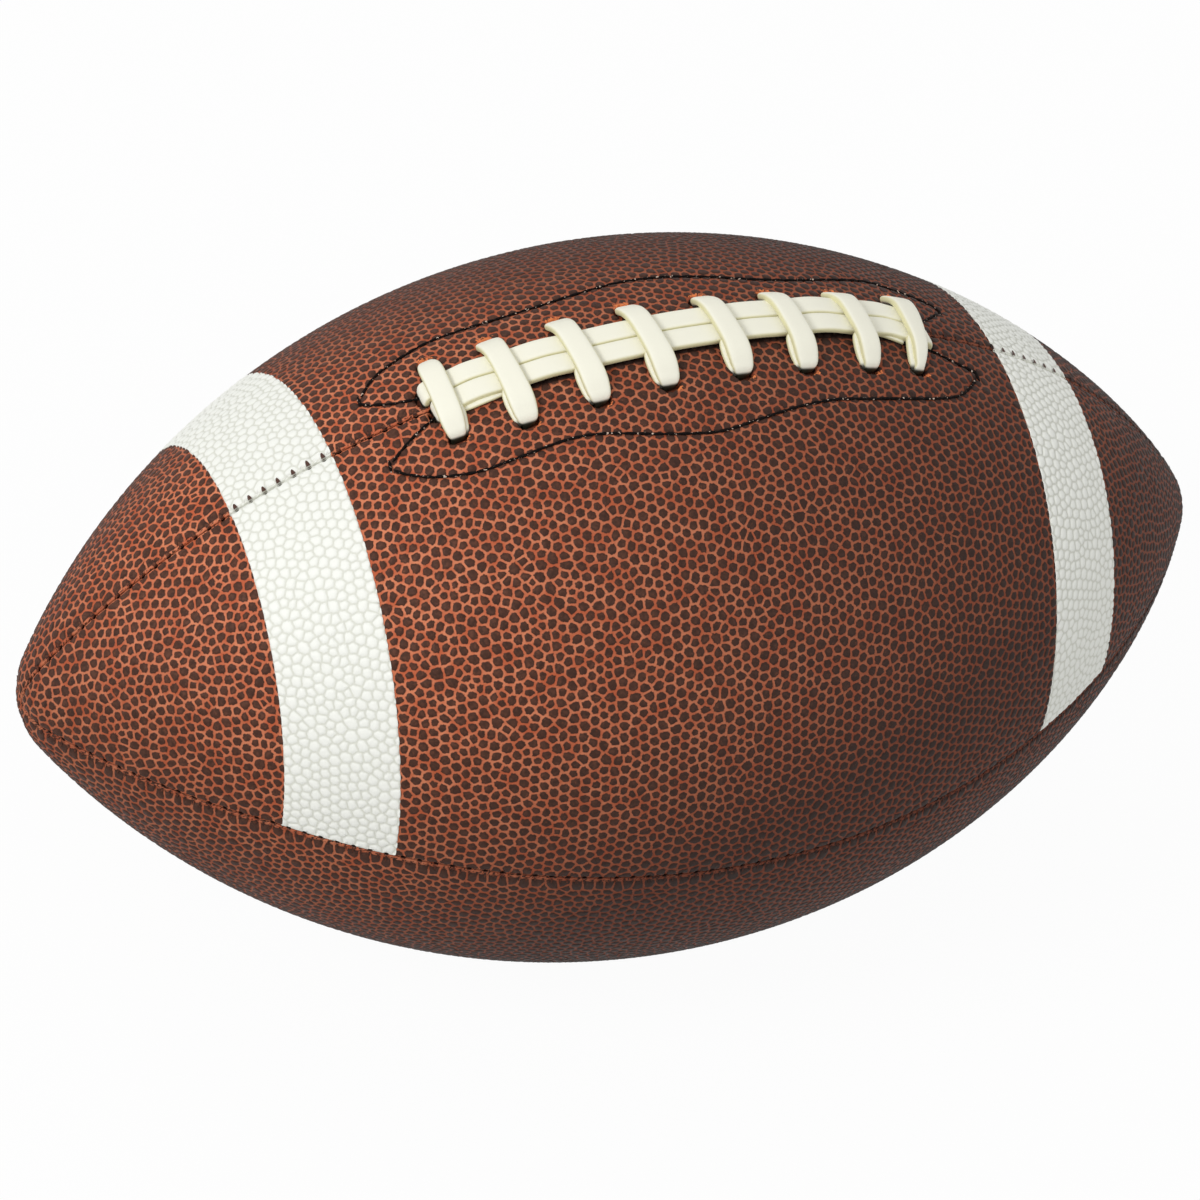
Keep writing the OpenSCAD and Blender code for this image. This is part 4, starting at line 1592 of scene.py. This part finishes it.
def joined(pieces: list[bpy.types.Object], name: str) -> bpy.types.Object:
    """Joins mesh objects into the first of them.

    Args:
        pieces: Objects to join.
        name: Name of the result.

    Returns:
        The joined object.
    """
    with bpy.context.temp_override(active_object=pieces[0], selected_editable_objects=pieces):
        bpy.ops.object.join()
    pieces[0].name = pieces[0].data.name = name
    return pieces[0]


@dataclass
class PanelCutter:
    """Cuts a panel's face into its left and right pieces, and parts the white stripes from it."""

    panel: Panel
    stripe_from: float = 82.3 * MM
    stripe_w: float = 25.4 * MM
    coat_t: float = 0.1 * MM
    coat_edge: float = 0.3 * MM
    filled: float = 0.95
    deep: float = -0.9 * MM
    cut_reach: float = 2.5 * MM
    on_edge: float = 0.01 * MM
    lean_from: tuple[float, float] = (50 * MM, 70 * MM)
    lean_shift: float = 0.1 * MM
    lean_swing: float = 2.4 * MM
    lean_turn: float = 0.6

    @cached_property
    def bands(self) -> list[float]:
        """Where the stripes' edges lie along X, or nothing on a base panel.

        Returns:
            The places of the inner and the outer edge.
        """
        if self.panel.half is Half.BASE:
            return []
        return [float(self.panel.skin.axial(np.array(s))) for s in (self.stripe_from, self.stripe_from + self.stripe_w)]

    def cut(self) -> list[bpy.types.Object]:
        """Cuts the panel.

        Returns:
            Its leather pieces, and its stripes where it has them.
        """
        panel = self.panel
        whole = joined([panel.pebbled(), panel.edges()], panel.node + "_whole")
        mesh = bmesh.new()
        mesh.from_mesh(whole.data)
        leans = {vert: self.stripe_lean(vert.co) for vert in mesh.verts}
        for vert, shift in leans.items():
            vert.co.x -= shift
        for x in [sign * band for band in self.bands for sign in (-1, 1)]:
            near = [face for face in mesh.faces if abs(face.verts[0].co.x - x) < self.cut_reach]
            edges = dict.fromkeys(edge for face in near for edge in face.edges)
            verts = dict.fromkeys(vert for face in near for vert in face.verts)
            geometry = [*edges, *verts, *near]
            bmesh.ops.bisect_plane(mesh, geom=geometry, plane_co=(x, 0, 0), plane_no=(1, 0, 0), dist=1e-7)
        mesh.faces.index_update()
        middles = [face.calc_center_median().x for face in mesh.faces]
        for vert in mesh.verts:
            vert.co.x += leans[vert] if vert in leans else self.stripe_lean(vert.co)
        right = mesh.faces.layers.float["right"]
        groups = {}
        for face, x in zip(mesh.faces, middles):
            striped = bool(self.bands) and self.bands[0] < abs(x) < self.bands[1]
            at_right = x > 0 if striped else face[right] > 0.5
            groups.setdefault((striped, at_right), set()).add(face.index)
        pieces = []
        for (striped, at_right), kept in sorted(groups.items()):
            pieces.append(self.part(mesh, kept, striped, End.RIGHT if at_right else End.LEFT))
        mesh.free()
        bpy.data.objects.remove(whole)
        pieces[0] = joined([pieces[0], panel.inner()], pieces[0].name)
        return pieces

    def stripe_lean(self, at: Vector) -> float:
        """How far the right stripe's edges stray along X at a place, since it was sprayed a little askew.

        Args:
            at: The place.

        Returns:
            The shift along X.
        """
        turn = math.atan2(at.y, at.z - self.panel.skin.middle)
        share = float(smooth(np.array(at.x), *self.lean_from))
        return share * (self.lean_shift + self.lean_swing * math.cos(turn - self.lean_turn))

    def part(self, mesh: bmesh.types.BMesh, kept: set[int], striped: bool, end: End) -> bpy.types.Object:
        """Makes one piece from some of the faces.

        Args:
            mesh: The whole panel.
            kept: Numbers of the faces that the piece keeps.
            striped: Whether it is a stripe.
            end: End of the ball that it is at.

        Returns:
            The piece.
        """
        own = mesh.copy()
        own.faces.ensure_lookup_table()
        bmesh.ops.delete(own, geom=[face for face in own.faces if face.index not in kept], context="FACES")
        label = f"{self.panel.side.name}_{end.name}".lower()
        name = f"stripe_{label}_coat" if striped else f"{self.panel.node}_{end.name.lower()}_leather"
        data = bpy.data.meshes.new(name)
        if striped:
            self.coat(own)
        own.to_mesh(data)
        own.free()
        data.materials.append((COAT if striped else LEATHER).build())
        data.shade_smooth()
        piece = linked(name, data)
        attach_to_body(piece, BODY)
        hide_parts(f"stripe_{label}" if striped else self.panel.node)
        return piece

    def coat(self, mesh: bmesh.types.BMesh) -> None:
        """Lifts a stripe off the leather, softens its pebbles and turns its straight edges down.

        Args:
            mesh: The stripe's part of the leather.
        """
        skin = self.panel.skin

        def cut(vert: bmesh.types.BMVert) -> bool:
            """Whether a vertex lies on one of the stripe's edges."""
            x = abs(vert.co.x - self.stripe_lean(vert.co))
            return min(abs(x - band) for band in self.bands) < self.on_edge

        def place(verts: list[bmesh.types.BMVert], lift: Callable[[np.ndarray], np.ndarray]) -> None:
            """Moves vertices to other heights over the skin.

            Args:
                verts: Vertices to move.
                lift: Gives the new height for the old one.
            """
            s, f, h = skin.locate(np.array([vert.co for vert in verts]))
            for vert, point in zip(verts, skin.place(s, f, lift(h)).tolist()):
                vert.co = point

        border = [edge for edge in mesh.edges if edge.is_boundary and all(cut(vert) for vert in edge.verts)]
        place(list(mesh.verts), lambda h: np.where(h < self.deep, h, h * self.filled + self.coat_t))
        wall = bmesh.ops.extrude_edge_only(mesh, edges=border)["geom"]
        place([part for part in wall if isinstance(part, bmesh.types.BMVert)], lambda h: h - self.coat_edge)


@dataclass
class Lace:
    """The one flat lace, from its tucked right end to its tucked left one."""

    skin: Skin
    lacing: Lacing
    sides: int = 24
    steps: int = 5
    entry_h: float = -1.3 * MM
    twist_h: float = -2.6 * MM
    twist: tuple[float, float] = (0.3, 0.7)
    bend: float = 0.3
    squeezed: tuple[float, float] = (0.86, 0.92)
    over: tuple[tuple[float, float, float], ...] = (
        (0.96, 0.06, 0.78), (0.86, 0.34, 0.9), (0.7, 0.68, 0.98), (0.5, 0.92, 1), (0.27, 1, 1),
    )
    over_top: tuple[float, float, float] = (0, 1.01, 1)
    widening: tuple[float, ...] = (-1, 0.2, 0.6, 1)
    dip_back: float = 0.35 * MM
    dip_share: float = 0.35
    flat_from: float = 1.4 * MM
    flat_stops: int = 39
    tail: float = 6 * MM
    slant_stops: tuple[float, ...] = (0.25, 0.5, 0.75)
    leg_rows: tuple[tuple[float, float, float], ...] = (
        (0.36, 0.92, 0.5), (0.3, 0.86, 0.9), (0.22, 0.68, 1), (0.14, 0.42, 0.95), (0.07, 0.18, 0.85),
        (0.02, -0.14, 0.7),
    )
    leg_aside: tuple[float, float] = (1.0 * MM, -1.15 * MM)
    leg_low: float = 0.75 * MM
    leg_w: float = 0.86
    leg_t: float = 1.2 * MM
    under_row: tuple[tuple[float, float, float], ...] = (
        (-54, -2.0, 0.3), (-51.5, -2.4, 0.4), (-48, -2.4, 0.6), (-44, -2.1, 0.5), (-41.5, -1.6, 0.4),
    )
    flap_row: tuple[tuple[float, float, float], ...] = (
        (46.2, -1.3, 0.4), (48.6, -1.8, 0.5), (51, -2.5, 0.5), (53.4, -3.3, 0.4), (54.6, -3.7, 0.3),
    )
    row_widths: tuple[float, float] = (4.4 * MM, 3.0 * MM)
    row_t: float = 0.9 * MM
    dip_from: float = -0.1 * MM
    dip_to: float = 0.9 * MM
    roundness: tuple[float, float] = (0.45, 0.62)
    rim_power: int = 6

    @property
    def under_w(self) -> float:
        """Width of the lace on the inside, halfway back from the width of a hole."""
        return (self.lacing.neck + self.lacing.width) / 2

    def passage(self, hole: np.ndarray, head: float, way: int, top_turn: float) -> list[Stop]:
        """Stops from the skin down a hole.

        Args:
            hole: Place of the hole: s, and g over the skin from the top seam.
            head: Direction of the lace on the inside, in degrees.
            way: 1 if the lace goes that way from the hole, -1 if it comes that way to it.
            top_turn: Turn of the lace's width on top, in degrees.

        Returns:
            Rows of s, g, h, turn of the width, width and thickness.
        """
        lace = self.lacing
        ahead = np.array([math.cos(math.radians(head)), math.sin(math.radians(head))]) * way * lace.hole_r
        twisted = top_turn * self.twist[0] + (head + 90) * self.twist[1]
        crossing, strand = self.squeezed
        entry = lace.neck * crossing if top_turn == 0 else lace.width * strand
        return [
            [*hole, self.entry_h, top_turn, entry, lace.thickness],
            [*hole, self.twist_h, twisted, lace.neck, lace.under],
            [*(hole + ahead / 3), lace.under_h + self.bend * lace.under, head + 90, self.under_w, lace.under],
            [*(hole + ahead), lace.under_h, head + 90, self.under_w, lace.under],
        ]

    def down(self, hole: np.ndarray, head: float, top_turn: float) -> list[Stop]:
        """Stops down a hole."""
        return self.passage(hole, head, 1, top_turn)

    def up(self, hole: np.ndarray, head: float, top_turn: float) -> list[Stop]:
        """Stops up a hole."""
        return self.passage(hole, head, -1, top_turn)[::-1]

    def crossing(self, k: int, head_in: float, head_out: float) -> list[Stop]:
        """Stops up a near hole, over the seam and down the far one.

        Args:
            k: Number of the crossing, from the left.
            head_in: Direction of the lace on the inside before it, in degrees.
            head_out: Direction of the lace on the inside after it.

        Returns:
            The stops.
        """
        lace = self.lacing
        near, far = lace.hole(k, Side.NEAR) + (0, lace.dive), lace.hole(k, Side.FAR)
        over = []
        for share, h, w in (*((-share, h, w) for share, h, w in self.over), self.over_top, *self.over[::-1]):
            w *= np.interp(share, self.widening, (lace.near_widths[k], 1, 1, lace.far_widths[k]))
            s, g = near + (far - near) * (share + 1) / 2
            over.append([s, g, lace.cross_h * h, 0, lace.width * w, lace.thickness])
        return [*self.up(near, head_in, 0), *over, *self.down(far, head_out, 0)]

    def strand(self, side: Side) -> list[Stop]:
        """Stops of one strand on top, from the right notch to the left one.

        Args:
            side: Side of the seam.

        Returns:
            The stops.
        """
        lace = self.lacing
        flat = [90, lace.width, lace.thickness]
        right, left = (lace.notch(end, side) for end in (End.RIGHT, End.LEFT))
        s = np.linspace(right[0] - self.flat_from, left[0] + self.flat_from, self.flat_stops)
        rise, drift = lace.bays(s)
        g = side.value * lace.run_g + drift
        middle = [[*place, *flat] for place in zip(s.tolist(), g, lace.run_h + rise)]
        dip_h = lace.run_h * self.dip_share
        return [
            [right[0] - self.dip_back, right[1], dip_h, *flat], *middle,
            [left[0] + self.dip_back, left[1], dip_h, *flat],
        ]

    def layers(self) -> list[np.ndarray]:
        """Stops of the short layers that show beside the near legs and under the near strand.

        Returns:
            Stops of each layer.
        """
        lace = self.lacing
        made = []
        for k in range(lace.crossings):
            near, far = lace.hole(k, Side.NEAR), lace.hole(k, Side.FAR)
            aside = self.leg_aside[min(k, 1)] * lace.near_widths[k]
            leg = []
            for along, h, w in self.leg_rows:
                s, g = near + (far - near) * along
                h = lace.cross_h * h - self.leg_low
                leg.append([s + aside * w, g, h, 0, lace.width * self.leg_w * w, self.leg_t])
            made.append(np.array(leg))
        for row, wide in zip((self.under_row, self.flap_row), self.row_widths):
            places = np.array(row) * MM
            turn = np.degrees(np.arctan2(*np.gradient(places[:, :2], axis=0).T[::-1])) + 90
            made.append(np.array([[*p, a, wide, self.row_t] for p, a in zip(places.tolist(), turn)]))
        return made

    def route(self) -> np.ndarray:
        """All stops of the lace.

        Returns:
            The stops in rows.
        """
        lace = self.lacing
        last = lace.crossings - 1

        def heading(start: np.ndarray, end: np.ndarray) -> float:
            """Direction from one place on the skin to another, in degrees."""
            return math.degrees(math.atan2(end[1] - start[1], end[0] - start[0]))

        near = [lace.hole(k, Side.NEAR) for k in range(lace.crossings)]
        far = [lace.hole(k, Side.FAR) for k in range(lace.crossings)]
        rise = heading(lace.notch(End.LEFT, Side.NEAR), near[0])
        fall = heading(far[last], lace.notch(End.RIGHT, Side.FAR))
        heads = [rise, *(heading(far[k], near[k + 1]) for k in range(last)), fall]
        stops = [self.tail_tip(End.RIGHT, Side.NEAR), *self.up(lace.notch(End.RIGHT, Side.NEAR), 0, 90)]
        stops += [*self.strand(Side.NEAR), *self.down(lace.notch(End.LEFT, Side.NEAR), rise, 90)]
        for k in range(lace.crossings):
            for t in self.slant_stops if k else ():
                place = far[k - 1] + (near[k] - far[k - 1]) * t
                stops.append([*place, lace.under_h, heads[k] + 90, self.under_w, lace.under])
            stops += self.crossing(k, heads[k], heads[k + 1])
        stops += [*self.up(lace.notch(End.RIGHT, Side.FAR), fall, 90), *self.strand(Side.FAR)]
        stops += [*self.down(lace.notch(End.LEFT, Side.FAR), 0, 90), self.tail_tip(End.LEFT, Side.FAR)]
        return np.array(stops)

    def tail_tip(self, end: End, side: Side) -> Stop:
        """Stop at a tucked end.

        Args:
            end: End of the slit.
            side: Side of the seam.

        Returns:
            The stop.
        """
        lace = self.lacing
        place = [end.value * (lace.notch_s - self.tail), side.value * lace.run_g, lace.under_h]
        return [*place, 90, lace.neck, lace.under]

    def make(self) -> bpy.types.Object:
        """Sweeps the lace's flat section along its route and its short layers.

        Returns:
            The lace.
        """
        points, faces, rims, dips, start = [], [], [], [], 0
        for stops in (self.route(), *self.layers()):
            stops = through(stops, self.steps)
            rings, rim = self.sweep(stops)
            faces += self.skinned(len(rings), start)
            points.append(rings.reshape(-1, 3))
            rims.append(rim)
            # painted shadow on the lace where it sinks below the skin into a hole
            dips.append(np.repeat(smooth(-stops[:, 2], self.dip_from, self.dip_to), self.sides))
            start += rim.size
        piece = new_piece("lace_strand", np.vstack(points), faces, VINYL)
        store(piece.data, "rim", np.concatenate(rims))
        store(piece.data, "dip", np.concatenate(dips))
        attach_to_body(piece, BODY)
        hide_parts("lace")
        return piece

    def sweep(self, stops: np.ndarray) -> tuple[np.ndarray, np.ndarray]:
        """Rings of the flat section along a row of stops.

        Args:
            stops: Smooth rows of s, g, h, turn of the width, width and thickness.

        Returns:
            Rings of points, and how near each point is to the lace's edge.
        """
        s, g, h, turn, width, thick = stops.T
        f = g / self.skin.radius(s)
        w = self.skin.lean(s)
        centre = self.skin.place(s, f, h)
        along = np.stack([np.cos(w), -np.sin(w) * np.sin(f), -np.sin(w) * np.cos(f)], -1)
        around = np.stack([np.zeros_like(f), np.cos(f), -np.sin(f)], -1)
        ahead = np.gradient(centre, axis=0)
        ahead /= np.linalg.norm(ahead, axis=1, keepdims=True)
        t = np.radians(turn)[:, None]
        across = along * np.cos(t) + around * np.sin(t)
        across -= ahead * (ahead * across).sum(1, keepdims=True)
        across /= np.linalg.norm(across, axis=1, keepdims=True)
        up = np.cross(ahead, across)
        a = 2 * math.pi * (np.arange(self.sides) + 0.5) / self.sides
        x, y = (np.sign(q) * np.abs(q) ** power for q, power in zip((np.cos(a), np.sin(a)), self.roundness))
        rings = centre[:, None] + across[:, None] * (x[:, None] * width[:, None, None] / 2)
        rings = rings + up[:, None] * (y[:, None] * thick[:, None, None] / 2)
        return rings, np.tile(np.abs(x) ** self.rim_power, len(rings))

    def skinned(self, count: int, start: int) -> list:
        """Faces that close a row of rings.

        Args:
            count: Number of rings.
            start: Number of their first point.

        Returns:
            Faces as lists of point numbers.
        """
        number = np.arange(count * self.sides).reshape(count, self.sides) + start
        turned = np.roll(number, -1, 1)
        quads = np.stack([number[:-1], number[1:], turned[1:], turned[:-1]], -1).reshape(-1, 4).tolist()
        return [*quads, number[0].tolist(), number[-1][::-1].tolist()]


@dataclass
class FacingStitches:
    """Black lockstitches that hold a facing behind one row of lace holes."""

    panel: Panel
    stitches: StitchTree
    pitch: float = 3.0 * MM
    length: float = 3.4 * MM
    thickness: float = 0.72 * MM
    lowest: float = -0.5 * MM
    proud: float = 0.62

    def make(self) -> bpy.types.Object:
        """Lays the stitches along the outline.

        Returns:
            The stitches as one piece.
        """
        panel = self.panel
        line = panel.lacing.outline(panel.side)
        s, v = line[:, 0], line[:, 1] / panel.skin.radius(line[:, 0])
        lift = np.maximum(panel.relief(s, v)[0], self.lowest)
        points = panel.skin.place(s, panel.turn(v), lift - panel.grain.depth + self.proud * self.thickness)
        side = panel.side.name.lower()
        name = f"facing_stitch_{side}_thread"
        mesh = bpy.data.meshes.new(name)
        mesh.from_pydata(points.tolist(), [(i, i + 1) for i in range(len(points) - 1)], [])
        piece = linked(name, mesh)
        values = {"Pitch": self.pitch, "Length": self.length, "Thickness": self.thickness}
        attach(piece, self.stitches.tree.tree, {**values, "Material": BLACK_THREAD.build()})
        settle(piece, BLACK_THREAD)
        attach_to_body(piece, BODY)
        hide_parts(f"facing_stitch_{side}")
        return piece


@dataclass
class Inside:
    """Finishes of the solids that stay as they are: linings, facings, threads, bladder and valve."""

    nodes: dict[str, bpy.types.Object]

    def dress(self) -> None:
        """Gives every shown solid its finish."""
        finishes = {
            "lining": LINING_CLOTH, "facing": FACING_LEATHER, "lace": FACING_LEATHER, "seam": SEAM_THREAD,
            "bladder": BLADDER_RUBBER, "valve": VALVE_RUBBER, "panel": LEATHER, "stripe": COAT,
        }
        for name, node in self.nodes.items():
            material = finishes[name.split("_")[0]].build()
            if not node.material_slots:
                node.data.materials.append(material)
            for slot in node.material_slots:
                slot.material = material


@dataclass(frozen=True)
class Camera:
    """Camera of the photograph: its place in millimetres, its turn, and its lens in pixels."""

    place: tuple[float, float, float] = (-394.352, -660.654, 867.707)
    right: tuple[float, float, float] = (0.92053, -0.35932, 0.15333)
    up: tuple[float, float, float] = (0.16473, 0.71288, 0.68166)
    focal_px: float = 4750.0
    frame_px: int = 1200
    sensor: float = 36.0
    clips: tuple[float, float] = (0.01, 50)

    def make(self) -> bpy.types.Object:
        """Makes the scene's camera.

        Returns:
            The camera object.
        """
        data = bpy.data.cameras.new("camera")
        data.sensor_width = self.sensor
        data.lens = self.focal_px / self.frame_px * self.sensor
        data.clip_start, data.clip_end = self.clips
        camera = linked("camera", data)
        right = Vector(self.right)
        back = right.cross(Vector(self.up)).normalized()
        turn = Matrix((right.normalized(), back.cross(right).normalized(), back)).transposed()
        camera.matrix_world = Matrix.Translation(Vector(self.place) * MM) @ turn.to_4x4()
        bpy.context.scene.camera = camera
        return camera


@dataclass(frozen=True)
class Lamp:
    """One soft round lamp."""

    name: str
    place: tuple[float, float, float]
    size: float
    power: float

    def make(self, aim: Vector) -> None:
        """Adds the lamp, turned towards a point.

        Args:
            aim: The point.
        """
        data = bpy.data.lights.new(self.name, "AREA")
        data.shape, data.size, data.energy = "DISK", self.size, self.power
        at = Vector(self.place)
        turn = (aim - at).to_track_quat("-Z", "Y").to_matrix().to_4x4()
        linked(self.name, data).matrix_world = Matrix.Translation(at) @ turn


@dataclass(frozen=True)
class Studio:
    """Pale floor, soft lamps and a world that is white where it is seen."""

    skin: Skin
    floor_size: float = 8.0
    floor_tone: float = 0.5
    floor_rough: float = 0.8
    floor_specular: float = 0.1
    glow: float = 1.03
    glow_share: float = 0.93
    ambient: float = 0.55
    lamps: tuple[Lamp, ...] = (
        Lamp("key", (-1.6, -0.35, 1.5), 0.7, 19),
        Lamp("fill", (0.9, -1.6, 0.9), 1.2, 4.4),
        Lamp("back", (-0.3, 1.4, 1.5), 0.9, 2.6),
    )

    def white(self, tree: Tree) -> bpy.types.NodeSocket:
        """1 for what the camera, a gloss or a clear surface sees directly.

        Args:
            tree: Helper on the material's tree.

        Returns:
            The output.
        """
        path = tree.add("ShaderNodeLightPath").outputs
        seen = tree.math("MAXIMUM", path["Is Camera Ray"], path["Is Glossy Ray"])
        return tree.math("MAXIMUM", seen, path["Is Transmission Ray"])

    def world(self) -> None:
        """Makes the world: soft light for surfaces, white where it is seen."""
        world = bpy.data.worlds.new("studio")
        world.use_nodes = True
        tree = Tree(world.node_tree)
        ground = world.node_tree.nodes["Background"]
        ground.inputs["Color"].default_value = (1, 1, 1, 1)
        tree.feed(ground.inputs["Strength"], tree.ease(self.white(tree), 0, 1, self.ambient, 1.0))
        bpy.context.scene.world = world

    def floor(self) -> bpy.types.Object:
        """Makes the floor.

        Returns:
            The floor object.
        """
        half = self.floor_size / 2
        mesh = bpy.data.meshes.new("floor")
        corners = [(x * half, y * half, 0) for x, y in ((-1, -1), (1, -1), (1, 1), (-1, 1))]
        mesh.from_pydata(corners, [], [(0, 1, 2, 3)])
        material = bpy.data.materials.new("floor")
        material.use_nodes = True
        tree = Tree(material.node_tree)
        nodes = material.node_tree.nodes
        shader = nodes["Principled BSDF"]
        shader.inputs["Base Color"].default_value = (self.floor_tone, self.floor_tone, self.floor_tone, 1)
        shader.inputs["Roughness"].default_value = self.floor_rough
        shader.inputs["Specular IOR Level"].default_value = self.floor_specular
        glow = tree.add("ShaderNodeEmission", {"Color": (1, 1, 1, 1), "Strength": self.glow}).outputs[0]
        share = tree.math("MULTIPLY", self.white(tree), self.glow_share)
        mixed = tree.add("ShaderNodeMixShader", {0: share, 1: shader.outputs[0], 2: glow}).outputs[0]
        tree.feed(nodes["Material Output"].inputs["Surface"], mixed)
        mesh.materials.append(material)
        floor = linked("floor", mesh)
        return floor

    def make(self) -> None:
        """Sets the stage."""
        self.world()
        self.floor()
        for lamp in self.lamps:
            lamp.make(Vector((0, 0, self.skin.middle)))
        bpy.context.scene.view_settings.view_transform = "Standard"


def report(piece: bpy.types.Object) -> None:
    """Logs a finished piece."""
    LOG.info("%s: %d triangles", piece.name, sum(len(face.vertices) - 2 for face in piece.data.polygons))


def main() -> None:
    """Builds the ball, piece by piece, and its studio."""
    logging.basicConfig(level=logging.INFO, format="%(name)s: %(message)s")
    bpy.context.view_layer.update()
    low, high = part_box("bladder")
    length, width, _ = high - low
    skin = Skin(round(length + 2 * BLADDER_DEPTH, 4), round(width + 2 * BLADDER_DEPTH, 4))
    LOG.info("skin %.1f by %.1f mm", skin.length / MM, skin.width / MM)
    Camera().make()
    Inside(frame["nodes"]).dress()
    lacing, seams, grain, pebbles, stitches = Lacing(), Seams(), Grain(), PebbleTree(), StitchTree()
    for half in Half:
        for side in Side:
            panel = Panel(skin, side, half, lacing, seams, grain, pebbles)
            for piece in PanelCutter(panel).cut():
                report(piece)
            if half is Half.LACE:
                report(FacingStitches(panel, stitches).make())
    report(Lace(skin, lacing).make())
    Studio(skin).make()


if __name__ == "__main__":
    main()
